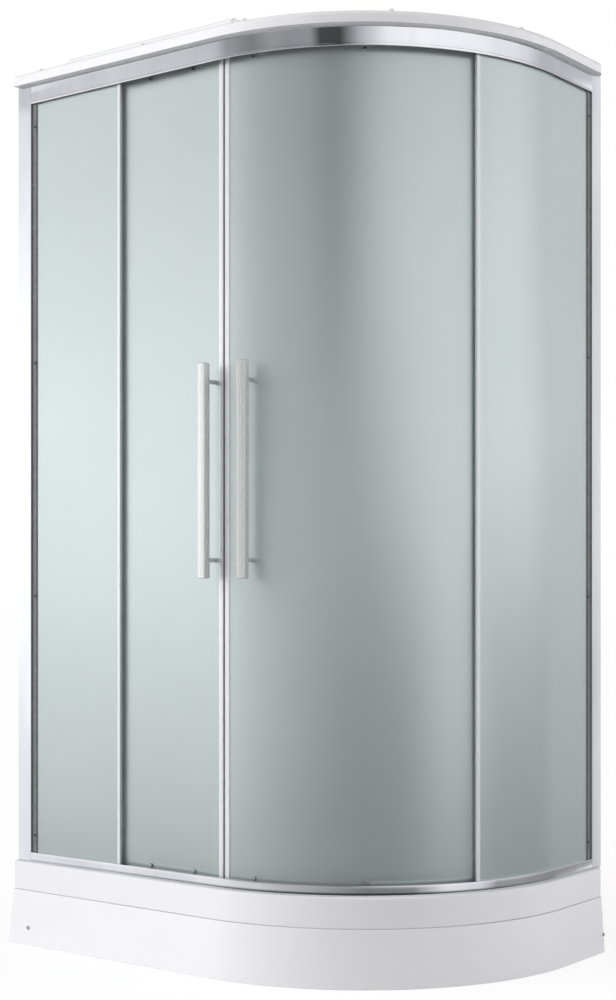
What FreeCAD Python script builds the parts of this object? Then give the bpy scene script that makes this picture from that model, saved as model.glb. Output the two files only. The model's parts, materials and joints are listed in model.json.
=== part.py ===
"""Offset quadrant shower cabin: tray, curved rails, two sliding doors, two fixed panes and a roof.

All sizes are in millimetres. The row frame is the middle of the 1200 x 800 footprint at floor
level: +X along the long front, +Y to the wall behind, +Z up. The room's corner is at -X +Y, the
rounded corner of the cabin at +X -Y.
"""
import FreeCAD, Part
import math
import os

V = FreeCAD.Vector
CUT = 2.0                       # how far a cutting tool runs past what it cuts

# ---------------------------------------------------------------- driving sizes
LENGTH = 1200.0                 # along X, over the apron's foot
DEPTH = 800.0                   # along Y, over the apron's foot
TRAY_TOP = 194.0                # the ledge that carries the rails
LIP_BOTTOM = 127.0              # lower edge of the tray's turned-down rim
LOWER_RAIL_TOP = 216.0
UPPER_RAIL_BOTTOM = 2020.0
UPPER_RAIL_TOP = 2066.0
ROOF_RIM_TOP = 2093.0
ROOF_TOP = 2120.0
RAIL_INSET = 30.0               # rail face to the apron's foot
RAIL_RADIUS = 550.0             # outer face of the curved rails
RAIL_DEPTH = 46.0
RAIL_WALL = 2.0
LIP_OUT = 12.0                  # tray rim beyond the rail face
APRON_TOP_OUT = 15.0            # apron beyond the rail face, at its top
ROOF_OUT = 15.0                 # roof rim beyond the rail face
CORNER = 20.0                   # rounding of tray and roof where the return meets the rear wall,
CORNER_TURN = 80.0              # as its radius at the rail face and the degrees that it turns
GLASS = 5.0                     # every pane
FIXED_S = 7.0                   # rail face to the outside of a fixed pane
DOOR_S = 20.0                   # rail face to the outside of a door
PROFILE_WIDTH = 43.0            # wall profile, seen from the front
PROFILE_DEPTH = 46.0
PANEL = 5.0                     # the two wall panels behind
MEETING_X = 34.0                # where the doors meet
LEFT_PANE_EDGE_X = -270.0       # free edge of the left fixed pane
RIGHT_PANE_EDGE_DEG = 64.0      # free edge of the right fixed pane, round the arc
DOOR_OVERLAP = 15.0             # door behind the free edge of its fixed pane
MAGNET = 7.7                    # nose of each magnetic seal
LEFT_TRAVEL = 240.0             # left door
RIGHT_TRAVEL_DEG = 30.0         # right door
UPPER_WHEEL_RADIUS = 11.0
UPPER_TREAD_RADIUS = 9.0
LOWER_WHEEL_RADIUS = 9.0
LOWER_TREAD_RADIUS = 7.0
HANDLE_LENGTH = 475.0
HANDLE_PITCH = 395.0            # between the two posts
HANDLE_MIDDLE = 1114.0          # height of the handle's middle
HANDLE_WIDTH = 20.0
HANDLE_DEPTH = 18.0
HANDLE_GAP = 28.0               # door glass to the bar: the room for fingers
POST_RADIUS = 5.0               # each post between the glass and the bar
POST_PLAY = 0.05                # post to glass

# ---------------------------------------------------------------- worked out
X_LEFT = -LENGTH / 2
X_RIGHT = LENGTH / 2 - RAIL_INSET
Y_FRONT = -DEPTH / 2 + RAIL_INSET
Y_BACK = DEPTH / 2
ARC_X = X_RIGHT - RAIL_RADIUS
ARC_Y = Y_FRONT + RAIL_RADIUS
DOOR_RADIUS = RAIL_RADIUS - DOOR_S
MEETING_DEG = math.degrees(math.asin((MEETING_X - ARC_X) / DOOR_RADIUS))
RAIL_X0 = X_LEFT + PROFILE_WIDTH
RAIL_Y1 = Y_BACK - PROFILE_WIDTH
CORNER_X = X_RIGHT - CORNER
GLASS_BOTTOM = TRAY_TOP + RAIL_WALL
DOOR_BOTTOM = TRAY_TOP + 10
DOOR_TOP = UPPER_RAIL_BOTTOM + 10
FIXED_TOP = UPPER_RAIL_TOP - 6


# ---------------------------------------------------------------- helpers
def box(x0, x1, y0, y1, z0, z1):
    """Upright block between two corners."""
    return Part.makeBox(x1 - x0, y1 - y0, z1 - z0, V(x0, y0, z0))


def rod(radius, start, direction, length):
    """Round bar from a point along a direction."""
    return Part.makeCylinder(radius, length, V(*start), V(*direction))


def pin(radius, s0, s1, z):
    """Round bar in a piece's own frame, square to the pane, between two distances inward."""
    return rod(radius, (0, s0, z), (0, 1, 0), s1 - s0)


def tube(outer, inner, start, direction, length):
    """Round pipe or ring from a point along a direction."""
    return rod(outer, start, direction, length).cut(rod(inner, start, direction, length))


def joined(shapes):
    """One solid from pieces that touch or overlap."""
    whole = shapes[0].fuse(shapes[1:]) if len(shapes) > 1 else shapes[0]
    return whole.removeSplitter()


def on_arc(radius, degrees):
    """Point in plan at an angle round the quadrant: 0 faces -Y, 90 faces +X."""
    a = math.radians(degrees)
    return ARC_X + radius * math.sin(a), ARC_Y - radius * math.cos(a)


def arc_edge(radius, start, end, z):
    """Arc round the quadrant's centre between two angles."""
    ends = [on_arc(radius, d) for d in (start, (start + end) / 2, end)]
    return Part.Arc(*[V(x, y, z) for x, y in ends]).toShape()


def line_edge(start, end, z):
    """Straight edge in plan between two points."""
    return Part.makeLine(V(start[0], start[1], z), V(end[0], end[1], z))


def corner_y(out):
    """Centre in Y of the rounding at the rear wall, for an outline at a distance beyond the rail face."""
    return Y_BACK - (CORNER + out) * math.sin(math.radians(CORNER_TURN))


def corner_edge(radius, centre_y, start, end, z):
    """Arc of the rounding at the rear wall; 0 faces +X and 90 faces +Y."""
    points = []
    for turn in (start, (start + end) / 2, end):
        a = math.radians(turn)
        points.append(V(CORNER_X + radius * math.cos(a), centre_y + radius * math.sin(a), z))
    return Part.Arc(*points).toShape()


def skirt_wire(s0, s1, z, centre_y):
    """Closed plan outline of a strip from the left wall right round to the rear wall's rounding."""
    outer, inner = CORNER - s0, CORNER - s1
    turned = corner_edge(outer, centre_y, 0, CORNER_TURN, z)
    returned = corner_edge(inner, centre_y, CORNER_TURN, 0, z)
    end, start = turned.Vertexes[-1].Point, returned.Vertexes[0].Point
    edges = [
        line_edge((X_LEFT, Y_FRONT + s0), (ARC_X, Y_FRONT + s0), z),
        arc_edge(RAIL_RADIUS - s0, 0, 90, z),
        line_edge((X_RIGHT - s0, ARC_Y), (X_RIGHT - s0, centre_y), z),
        turned,
        line_edge(end, start, z),
        returned,
        line_edge((X_RIGHT - s1, centre_y), (X_RIGHT - s1, ARC_Y), z),
        arc_edge(RAIL_RADIUS - s1, 90, 0, z),
        line_edge((ARC_X, Y_FRONT + s1), (X_LEFT, Y_FRONT + s1), z),
        line_edge((X_LEFT, Y_FRONT + s1), (X_LEFT, Y_FRONT + s0), z),
    ]
    return Part.Wire(edges)


def skirt_band(s0, s1, z0, z1, centre_y):
    """Upright strip with the rounding at the rear wall."""
    return Part.Face(skirt_wire(s0, s1, z0, centre_y)).extrude(V(0, 0, z1 - z0))


def band_wire(s0, s1, x0, y1, z):
    """Closed plan outline of a strip along the front and round the corner.

    s0 and s1 are distances inward from the rail's outer face. The strip runs from x0 on the
    straight front to y1 on the short return.
    """
    outer, inner = RAIL_RADIUS - s0, RAIL_RADIUS - s1
    edges = [
        line_edge((x0, Y_FRONT + s0), (ARC_X, Y_FRONT + s0), z),
        arc_edge(outer, 0, 90, z),
        line_edge((X_RIGHT - s0, ARC_Y), (X_RIGHT - s0, y1), z),
        line_edge((X_RIGHT - s0, y1), (X_RIGHT - s1, y1), z),
        line_edge((X_RIGHT - s1, y1), (X_RIGHT - s1, ARC_Y), z),
        arc_edge(inner, 90, 0, z),
        line_edge((ARC_X, Y_FRONT + s1), (x0, Y_FRONT + s1), z),
        line_edge((x0, Y_FRONT + s1), (x0, Y_FRONT + s0), z),
    ]
    return Part.Wire(edges)


def band(s0, s1, z0, z1, x0=RAIL_X0, y1=RAIL_Y1):
    """Strip along the front and round the corner, as an upright solid."""
    return Part.Face(band_wire(s0, s1, x0, y1, z0)).extrude(V(0, 0, z1 - z0))


def arc_band(s0, s1, start, end, z0, z1):
    """Strip round the arc only, between two angles."""
    outer, inner = RAIL_RADIUS - s0, RAIL_RADIUS - s1
    edges = [
        arc_edge(outer, start, end, z0),
        line_edge(on_arc(outer, end), on_arc(inner, end), z0),
        arc_edge(inner, end, start, z0),
        line_edge(on_arc(inner, start), on_arc(outer, start), z0),
    ]
    return Part.Face(Part.Wire(edges)).extrude(V(0, 0, z1 - z0))


def plan_wire(out, side, z):
    """Closed plan outline of the whole cabin.

    out is the distance beyond the rail face, negative inside it; side is the distance in from
    the two walls behind. Outside the rail face the end of the return is rounded.
    """
    x0, y1 = X_LEFT + side, Y_BACK - side
    edges = [
        line_edge((x0, y1), (x0, Y_FRONT - out), z),
        line_edge((x0, Y_FRONT - out), (ARC_X, Y_FRONT - out), z),
        arc_edge(RAIL_RADIUS + out, 0, 90, z),
    ]
    end = (X_RIGHT + out, y1)
    if out > 0:
        turned = corner_edge(CORNER + out, corner_y(out) - side, 0, CORNER_TURN, z)
        edges += [line_edge((X_RIGHT + out, ARC_Y), turned.Vertexes[0].Point, z), turned]
        end = turned.Vertexes[-1].Point
    else:
        edges.append(line_edge((X_RIGHT + out, ARC_Y), end, z))
    edges.append(line_edge(end, (x0, y1), z))
    return Part.Wire(edges)


def plan_prism(out, side, z0, z1):
    """The cabin's plan as an upright solid."""
    return Part.Face(plan_wire(out, side, z0)).extrude(V(0, 0, z1 - z0))


def seat_on_arc(shape, degrees):
    """Moves a piece from its own frame to an angle round the arc.

    In its own frame a piece has x along the pane, y inward from the rail face and z up.
    """
    x, y = on_arc(RAIL_RADIUS, degrees)
    placed = shape.copy()
    placed.rotate(V(0, 0, 0), V(0, 0, 1), degrees)
    placed.translate(V(x, y, 0))
    return placed


def seat_on_front(shape, x):
    """Moves a piece from its own frame to a place on the straight front."""
    placed = shape.copy()
    placed.translate(V(x, Y_FRONT, 0))
    return placed


def seat_on_return(shape, y):
    """Moves a piece from its own frame to a place on the short straight return."""
    placed = shape.copy()
    placed.rotate(V(0, 0, 0), V(0, 0, 1), 90)
    placed.translate(V(X_RIGHT, y, 0))
    return placed


def seat_on_corner(shape, turn):
    """Moves a piece from its own frame to the skirt's rounding at the rear wall, at the screws' height."""
    a = math.radians(turn)
    share = APRON_SCREW_Z / APRON_TOP
    centre_y = corner_y(RAIL_INSET) * (1 - share) + corner_y(APRON_TOP_OUT) * share
    placed = shape.copy()
    placed.rotate(V(0, 0, 0), V(0, 0, 1), 90 + turn)
    placed.translate(V(CORNER_X + CORNER * math.cos(a), centre_y + CORNER * math.sin(a), 0))
    return placed


def open_top_edges(shape, z):
    """Top edges at a height, except those along the room's two walls."""
    edges = []
    for edge in shape.Edges:
        bounds = edge.BoundBox
        level = abs(bounds.ZMin - z) < 0.1 and abs(bounds.ZMax - z) < 0.1
        on_left_wall = bounds.XMax < X_LEFT + 1
        on_rear_wall = bounds.YMin > Y_BACK - 1
        if level and not on_left_wall and not on_rear_wall:
            edges.append(edge)
    return edges


# ---------------------------------------------------------------- tray
LIP_WALL = 5.0
BASIN_FLOOR = 150.0             # upper face of the basin's floor
BASIN_IN = 58.0                 # basin wall behind the rail face
BASIN_SIDE = 48.0               # basin wall in from the room's walls
WASTE_X, WASTE_Y = -300.0, 240.0
WASTE_HOLE = 45.0


def tray_basin():
    """Acrylic shell: turned-down rim, ledge, basin and waste hole."""
    body = plan_prism(LIP_OUT, 0, LIP_BOTTOM, TRAY_TOP)
    body = body.makeFillet(5.0, open_top_edges(body, TRAY_TOP))
    basin = plan_prism(-BASIN_IN, BASIN_SIDE, BASIN_FLOOR, TRAY_TOP)
    corners = [e for e in basin.Edges if abs(e.BoundBox.ZMax - BASIN_FLOOR) < 0.1]
    basin = basin.makeFillet(14.0, corners)
    under = plan_prism(LIP_OUT - LIP_WALL, LIP_WALL, LIP_BOTTOM, TRAY_TOP - LIP_WALL)
    kept = plan_prism(LIP_WALL - BASIN_IN, BASIN_SIDE - LIP_WALL, BASIN_FLOOR - LIP_WALL, TRAY_TOP)
    under = under.cut(kept)
    hole = rod(WASTE_HOLE, (WASTE_X, WASTE_Y, 0), (0, 0, 1), TRAY_TOP)
    return body.cut(basin).cut(under).cut(hole)


APRON_TOP = 126.0
APRON_WALL = 4.0
APRON_FLANGE = 18.0


def tray_apron():
    """Front skirt: leans out to its foot, with a flange turned in at its top and bottom."""
    top_y, foot_y = corner_y(APRON_TOP_OUT), corner_y(RAIL_INSET)
    top = skirt_wire(-APRON_TOP_OUT, APRON_WALL - APRON_TOP_OUT, APRON_TOP, top_y)
    foot = skirt_wire(-RAIL_INSET, APRON_WALL - RAIL_INSET, 0, foot_y)
    skirt = Part.makeLoft([foot, top], True, True)
    upper = skirt_band(-APRON_TOP_OUT, APRON_FLANGE - APRON_TOP_OUT, APRON_TOP - APRON_WALL, APRON_TOP, top_y)
    lower = skirt_band(-RAIL_INSET + 1, APRON_FLANGE - RAIL_INSET, 0, 3, foot_y)
    whole = joined([skirt, upper, lower])
    return whole.cut(apron_screws().Solids)


APRON_SCREW_Z = 40.0
APRON_SCREW_X = -540.0          # on the front, near the left wall
APRON_SCREW_TURN = 12.0         # on the rounding at the rear wall, in degrees past the return
APRON_SCREW_OUT = RAIL_INSET - (RAIL_INSET - APRON_TOP_OUT) * APRON_SCREW_Z / APRON_TOP
APRON_SCREW_RADIUS = 2.0
APRON_SCREW_HEAD = 4.5
BRACKET = 3.0                   # thickness of an apron bracket
BRACKET_GAP = 4.0               # skirt to bracket
BRACKET_HALF = 12.0
BRACKET_BACK = 14.0             # how far the bracket reaches behind the rail face
BRACKET_FRONT = 9.0             # how far its top reaches in front of it


def apron_screws():
    """The two screws at the apron's ends, through the skirt into its brackets."""
    head = pin(APRON_SCREW_HEAD, -APRON_SCREW_OUT - 2.6, -APRON_SCREW_OUT, APRON_SCREW_Z)
    shank = pin(APRON_SCREW_RADIUS, -APRON_SCREW_OUT - 1, -APRON_SCREW_OUT + 15, APRON_SCREW_Z)
    screw = head.fuse(shank)
    return Part.makeCompound([seat_on_front(screw, APRON_SCREW_X), seat_on_corner(screw, APRON_SCREW_TURN)])


def apron_brackets():
    """Angle brackets that tie the skirt, where it is screwed, to its upper flange."""
    half, back = BRACKET_HALF, BRACKET_BACK
    reach = APRON_SCREW_OUT - APRON_WALL - BRACKET_GAP
    low, high = APRON_SCREW_Z - half, APRON_SCREW_Z + half
    under_flange = APRON_TOP - APRON_WALL
    plate = box(-half, half, -reach, BRACKET - reach, low, high)
    foot = box(half - BRACKET, half, -reach, back, low, high)
    riser = box(half - BRACKET, half, -BRACKET_FRONT, back, high - 1, under_flange)
    top = box(-half, half, -BRACKET_FRONT, back, under_flange - BRACKET, under_flange)
    bracket = joined([plate, foot, riser, top])
    bracket = bracket.cut(pin(APRON_SCREW_RADIUS, -reach - CUT, BRACKET - reach + CUT, APRON_SCREW_Z))
    places = [seat_on_front(bracket, APRON_SCREW_X), seat_on_corner(bracket, APRON_SCREW_TURN)]
    return Part.makeCompound(places)


TUBE = 25.0
FRAME_TOP = BASIN_FLOOR - LIP_WALL
LONG_TUBES = ((-200.0, 370.0), (100.0, 500.0))      # place in Y and right-hand end
LONG_TUBES_X = -545.0
CROSS_TUBES = ((-470.0, -320.0, 340.0), (-40.0, -320.0, 340.0), (390.0, -180.0, 340.0))
FOOT_IN = 30.0                  # foot in from a cross tube's end


def hollow_bar(x0, x1, y0, y1, z0, z1, wall=2.0):
    """Square steel tube along its longer side."""
    outer = box(x0, x1, y0, y1, z0, z1)
    if x1 - x0 > y1 - y0:
        return outer.cut(box(x0, x1, y0 + wall, y1 - wall, z0 + wall, z1 - wall))
    return outer.cut(box(x0 + wall, x1 - wall, y0, y1, z0 + wall, z1 - wall))


def feet_places():
    """Plan place of each levelling foot."""
    for x, y0, y1 in CROSS_TUBES:
        yield x, y0 + FOOT_IN
        yield x, y1 - FOOT_IN


STUD_RADIUS = 5.0


def tray_frame():
    """Two steel tubes right under the basin and three across, bored for the levelling studs."""
    tubes = [hollow_bar(LONG_TUBES_X, x1, y - TUBE / 2, y + TUBE / 2, FRAME_TOP - TUBE, FRAME_TOP)
             for y, x1 in LONG_TUBES]
    top = FRAME_TOP - TUBE
    for x, y0, y1 in CROSS_TUBES:
        bar = hollow_bar(x - TUBE / 2, x + TUBE / 2, y0, y1, top - TUBE, top)
        for y in (y0 + FOOT_IN, y1 - FOOT_IN):
            bar = bar.cut(rod(STUD_RADIUS + 0.3, (x, y, top - TUBE - CUT), (0, 0, 1), TUBE + 2 * CUT))
        tubes.append(bar)
    return Part.makeCompound(tubes)


PAD_HEIGHT = 16.0
PAD_SOCKET = 8.0                # stud's depth in its pad
NUT_ACROSS = 17.0
LOW_NUT, HIGH_NUT = 8.0, 6.0    # heights of the nuts below and above a tube


def hexagon(across, z0, height, x, y, bore):
    """Hexagon nut with its bore."""
    corner = across / math.sqrt(3)
    points = [V(x + corner * math.cos(math.radians(60 * k)),
                y + corner * math.sin(math.radians(60 * k)), z0) for k in range(7)]
    nut = Part.Face(Part.makePolygon(points)).extrude(V(0, 0, height))
    return nut.cut(rod(bore, (x, y, z0 - CUT), (0, 0, 1), height + 2 * CUT))


def levelling_studs():
    """Threaded studs, each with a nut below its tube and one above."""
    top = FRAME_TOP - TUBE
    foot = PAD_HEIGHT - PAD_SOCKET
    pieces = []
    for x, y in feet_places():
        stud = rod(STUD_RADIUS, (x, y, foot), (0, 0, 1), FRAME_TOP - 3 - foot)
        low = hexagon(NUT_ACROSS, top - TUBE - LOW_NUT, LOW_NUT, x, y, STUD_RADIUS - 0.2)
        high = hexagon(NUT_ACROSS, top, HIGH_NUT, x, y, STUD_RADIUS - 0.2)
        pieces.append(stud.fuse([low, high]))
    return Part.makeCompound(pieces)


def levelling_pads():
    """Moulded feet under the studs."""
    pads = []
    for x, y in feet_places():
        disc = rod(22, (x, y, 0), (0, 0, 1), 7).fuse(rod(11, (x, y, 0), (0, 0, 1), PAD_HEIGHT))
        pads.append(disc.cut(rod(STUD_RADIUS, (x, y, PAD_HEIGHT - PAD_SOCKET), (0, 0, 1), PAD_SOCKET + CUT)))
    return Part.makeCompound(pads)


# ---------------------------------------------------------------- waste
GASKET = 2.0
WASTE_AXIS_Z = 66.0             # outlet's centre line
OUTLET_RADIUS = 20.0
OUTLET_BORE = 17.5
OUTLET_REACH = 112.0            # waste's axis to the outlet's end
SHOULDER_RADIUS, SHOULDER_REACH = 26.0, 62.0    # shoulder that the waste pipe is pushed up to
FLANGE_RADIUS = 56.0
STRAINER_RADIUS = 40.0          # the flange's opening
TAIL_RADIUS = 43.9              # the flange's tail, through the basin's floor
TAIL_FOOT = 122.0
HUB_FOOT, HUB_TOP = 126.0, 138.0
ARM_TOP = 134.0
CUP_RADIUS, CUP_BORE = 50.0, 44.0
CUP_FOOT = 38.0
STEM_RADIUS = 5.0
STEM_FIT = 0.06                 # stem in the hub's bore
STEM_FOOT = 128.0
COVER_Z = 156.0
COVER_RADIUS, COVER_HEIGHT = 52.0, 5.0
WASTE_PLACE = (WASTE_X, WASTE_Y)
UP = (0, 0, 1)


def waste_gasket():
    """Rubber ring between the waste's flange and the basin's floor."""
    return tube(FLANGE_RADIUS, TAIL_RADIUS + 0.3, (*WASTE_PLACE, BASIN_FLOOR), UP, GASKET)


def waste_flange():
    """Strainer ring with its threaded tail and the spider that guides the cover's stem."""
    flange_foot = BASIN_FLOOR + GASKET
    ring = tube(FLANGE_RADIUS, STRAINER_RADIUS, (*WASTE_PLACE, flange_foot), UP, 3)
    tail = tube(TAIL_RADIUS, STRAINER_RADIUS, (*WASTE_PLACE, TAIL_FOOT), UP, flange_foot - TAIL_FOOT)
    hub = rod(10, (*WASTE_PLACE, HUB_FOOT), UP, HUB_TOP - HUB_FOOT)
    arm, half = STRAINER_RADIUS + 1, 2
    arms = [box(WASTE_X - arm, WASTE_X + arm, WASTE_Y - half, WASTE_Y + half, HUB_FOOT, ARM_TOP),
            box(WASTE_X - half, WASTE_X + half, WASTE_Y - arm, WASTE_Y + arm, HUB_FOOT, ARM_TOP)]
    whole = joined([ring, tail, hub] + arms)
    bore = rod(STEM_RADIUS + STEM_FIT, (*WASTE_PLACE, HUB_FOOT - CUT), UP, HUB_TOP - HUB_FOOT + 2 * CUT)
    return whole.cut(bore)


def waste_body():
    """Trap cup under the floor with its side outlet."""
    collar = rod(CUP_RADIUS + 10, (*WASTE_PLACE, FRAME_TOP - 4), UP, 4)
    cup = rod(CUP_RADIUS, (*WASTE_PLACE, CUP_FOOT), UP, FRAME_TOP - CUP_FOOT)
    outlet = rod(OUTLET_RADIUS, (*WASTE_PLACE, WASTE_AXIS_Z), (-1, 0, 0), OUTLET_REACH)
    shoulder = rod(SHOULDER_RADIUS, (*WASTE_PLACE, WASTE_AXIS_Z), (-1, 0, 0), SHOULDER_REACH)
    cup = joined([collar, cup, shoulder, outlet])
    cup = cup.cut(rod(CUP_BORE, (*WASTE_PLACE, CUP_FOOT + 4), UP, FRAME_TOP - CUP_FOOT))
    bore_start = (WASTE_X - CUP_BORE + 4, WASTE_Y, WASTE_AXIS_Z)
    return cup.cut(rod(OUTLET_BORE, bore_start, (-1, 0, 0), OUTLET_REACH))


def waste_cover():
    """Lift-out cover over the strainer, with its stem."""
    disc = rod(COVER_RADIUS, (*WASTE_PLACE, COVER_Z), UP, COVER_HEIGHT)
    rim = [e for e in disc.Edges if abs(e.BoundBox.ZMin - COVER_Z - COVER_HEIGHT) < 0.1]
    disc = disc.makeFillet(3.5, rim)
    return disc.fuse(rod(STEM_RADIUS, (*WASTE_PLACE, STEM_FOOT), UP, COVER_Z - STEM_FOOT))


# ---------------------------------------------------------------- rails
GROOVE_IN, GROOVE_OUT = 4.5, 14.5     # the two lips round a fixed pane
GROOVE_LIP = 1.5
UPPER_TRACK_S = 36.0            # the rib that carries the upper wheels
LOWER_TRACK_S = 37.5            # the rib that guides the lower wheels
TRACK_WIDTH = 1.5
TRACK_GAP = 0.15                # tread to rib
GROOVE_DEPTH = 16.0             # the upper rail's groove round a fixed pane
LEDGE_S = 31.5                  # free edge of the wheels' ledge
UPPER_LEDGE = UPPER_RAIL_BOTTOM + 9
UPPER_RIB_TOP = UPPER_LEDGE + 2
UPPER_AXLE_Z = UPPER_RIB_TOP + UPPER_TREAD_RADIUS + TRACK_GAP
LOWER_RIB_TOP = 213.0
LOWER_AXLE_Z = LOWER_RIB_TOP + LOWER_TREAD_RADIUS + TRACK_GAP


def upper_rail():
    """Bent extrusion: fascia, top web, glass groove, inner wall and the wheels' ledge."""
    low, top = UPPER_RAIL_BOTTOM, UPPER_RAIL_TOP
    web = top - RAIL_WALL
    pieces = [
        band(0, RAIL_WALL, low, top),
        band(0, RAIL_DEPTH, web, top),
        band(RAIL_DEPTH - RAIL_WALL, RAIL_DEPTH, low, top),
        band(GROOVE_IN, GROOVE_IN + GROOVE_LIP, web - GROOVE_DEPTH, web),
        band(GROOVE_OUT - GROOVE_LIP, GROOVE_OUT, web - GROOVE_DEPTH, web),
        band(LEDGE_S, RAIL_DEPTH, UPPER_LEDGE - RAIL_WALL, UPPER_LEDGE),
        band(UPPER_TRACK_S - TRACK_WIDTH / 2, UPPER_TRACK_S + TRACK_WIDTH / 2,
             UPPER_LEDGE, UPPER_RIB_TOP),
    ]
    return joined(pieces).cut(roof_screws().Solids)


def lower_rail():
    """Bent extrusion: fascia, base, glass groove, guide rib and inner kerb."""
    low, top = TRAY_TOP, LOWER_RAIL_TOP
    base = low + RAIL_WALL
    pieces = [
        band(0, RAIL_DEPTH, low, base),
        band(0, RAIL_WALL, low, top),
        band(0, GROOVE_IN + GROOVE_LIP, top - RAIL_WALL, top),
        band(GROOVE_IN, GROOVE_IN + GROOVE_LIP, base, top),
        band(GROOVE_OUT - GROOVE_LIP, GROOVE_OUT, base, top - 4),
        band(LOWER_TRACK_S - TRACK_WIDTH / 2, LOWER_TRACK_S + TRACK_WIDTH / 2, base, LOWER_RIB_TOP),
        band(RAIL_DEPTH - RAIL_WALL, RAIL_DEPTH, low, base + 4),
    ]
    return joined(pieces)


def profile_section(u0, u1, s0, s1, side):
    """Upright wall of a wall profile.

    u is the distance from the room's wall along the pane, s the distance inward from the rail
    face; side picks the left profile or the right one.
    """
    z0, z1 = TRAY_TOP, UPPER_RAIL_TOP
    if side == "left":
        return box(X_LEFT + u0, X_LEFT + u1, Y_FRONT + s0, Y_FRONT + s1, z0, z1)
    return box(X_RIGHT - s1, X_RIGHT - s0, Y_BACK - u1, Y_BACK - u0, z0, z1)


PANEL_IN = 3.0                  # wall panel's face in from the room's wall
PANEL_SLOT = 1.0
PANE_SLOT = 1.5                 # room in front of and behind a fixed pane, in its profile


def wall_profile(side):
    """Extrusion that holds a fixed pane's edge in front and a wall panel's edge behind."""
    w, d, t = PROFILE_WIDTH, PROFILE_DEPTH, RAIL_WALL
    panel_out = PANEL_IN + PANEL + PANEL_SLOT
    walls = [
        (0, w, 0, t),
        (0, t, 0, d),
        (w - t, w, 0, FIXED_S - PANE_SLOT),
        (w - t, w, FIXED_S + GLASS + PANE_SLOT, d),
        (panel_out, w, d - t, d),
        (panel_out, panel_out + t, 0, d),
    ]
    return joined([profile_section(*wall, side) for wall in walls])


# ---------------------------------------------------------------- fixed panes
PANE_IN_PROFILE = 18.0          # pane inside its wall profile


def left_fixed_glass():
    """Flat pane from the left wall profile to its free edge."""
    x0 = RAIL_X0 - PANE_IN_PROFILE
    y0 = Y_FRONT + FIXED_S
    return box(x0, LEFT_PANE_EDGE_X, y0, y0 + GLASS, GLASS_BOTTOM, FIXED_TOP)


def right_fixed_glass():
    """Bent pane: the last of the arc and the straight return to the right wall profile."""
    s0, s1 = FIXED_S, FIXED_S + GLASS
    bent = arc_band(s0, s1, RIGHT_PANE_EDGE_DEG, 90, GLASS_BOTTOM, FIXED_TOP)
    flat = box(X_RIGHT - s1, X_RIGHT - s0, ARC_Y, RAIL_Y1 + PANE_IN_PROFILE, GLASS_BOTTOM, FIXED_TOP)
    return joined([bent, flat])


GASKET_STRIP = 15.0             # the dark strip between pane and wall profile
GASKET_FRONT, GASKET_REAR = 2.5, 2.0    # its thickness in front of the pane and behind it


def wall_glass_gaskets():
    """Rubber strips in front of and behind each fixed pane where it enters its profile."""
    z0, z1 = LOWER_RAIL_TOP, UPPER_RAIL_BOTTOM
    front, back = FIXED_S, FIXED_S + GLASS
    y = Y_FRONT
    left = [box(RAIL_X0, RAIL_X0 + GASKET_STRIP, y + front - GASKET_FRONT, y + front, z0, z1),
            box(RAIL_X0, RAIL_X0 + GASKET_STRIP, y + back, y + back + GASKET_REAR, z0, z1)]
    x = X_RIGHT
    right = [box(x - front, x - front + GASKET_FRONT, RAIL_Y1 - GASKET_STRIP, RAIL_Y1, z0, z1),
             box(x - back - GASKET_REAR, x - back, RAIL_Y1 - GASKET_STRIP, RAIL_Y1, z0, z1)]
    return Part.makeCompound(left + right)


SEAL_LAP = 7.0                  # seal over the face of its pane
SEAL_SKIN = 1.2


def fixed_glass_edge_seals():
    """Clear strips clipped over the free edges of the fixed panes."""
    z0, z1 = LOWER_RAIL_TOP, UPPER_RAIL_BOTTOM
    s0, s1 = FIXED_S - SEAL_SKIN, FIXED_S + GLASS + SEAL_SKIN
    edge = LEFT_PANE_EDGE_X
    y = Y_FRONT
    left = box(edge - SEAL_LAP, edge + SEAL_SKIN, y + s0, y + s1, z0, z1)
    left = left.cut(box(edge - SEAL_LAP, edge, y + FIXED_S, y + FIXED_S + GLASS, z0, z1))
    lap = math.degrees(SEAL_LAP / DOOR_RADIUS)
    skin = math.degrees(SEAL_SKIN / DOOR_RADIUS)
    free = RIGHT_PANE_EDGE_DEG
    right = arc_band(s0, s1, free - skin, free + lap, z0, z1)
    right = right.cut(arc_band(FIXED_S, FIXED_S + GLASS, free, free + lap, z0, z1))
    return Part.makeCompound([left, right])


CLAMP_SCREWS_Z = (257.0, 833.0, 1395.0, 1964.0)


def profile_screws():
    """Small clamp screws on the front gaskets, beside each wall profile."""
    inset = GASKET_STRIP - 4
    screws = []
    for z in CLAMP_SCREWS_Z:
        head = pin(3, FIXED_S - GASKET_FRONT - 1.8, FIXED_S - GASKET_FRONT, z)
        screws.append(seat_on_front(head, RAIL_X0 + inset))
        screws.append(seat_on_return(head, RAIL_Y1 - inset))
    return Part.makeCompound(screws)


# ---------------------------------------------------------------- doors
class Door:
    """A sliding door: turns distances from the meeting line into places on its path."""

    def __init__(self, name, rollers, handle, far):
        self.name = name
        self.rollers = rollers
        self.handle = handle
        self.far = far

    def strip(self, s0, s1, a0, a1, z0, z1):
        """Strip along the door's path between two distances from the meeting line."""
        raise NotImplementedError

    def seat(self, shape, a):
        """Puts a fitting at a distance from the meeting line."""
        raise NotImplementedError


class LeftDoor(Door):
    """The flat door."""

    def strip(self, s0, s1, a0, a1, z0, z1):
        return box(MEETING_X - a1, MEETING_X - a0, Y_FRONT + s0, Y_FRONT + s1, z0, z1)

    def seat(self, shape, a):
        return seat_on_front(shape, MEETING_X - a)


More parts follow.
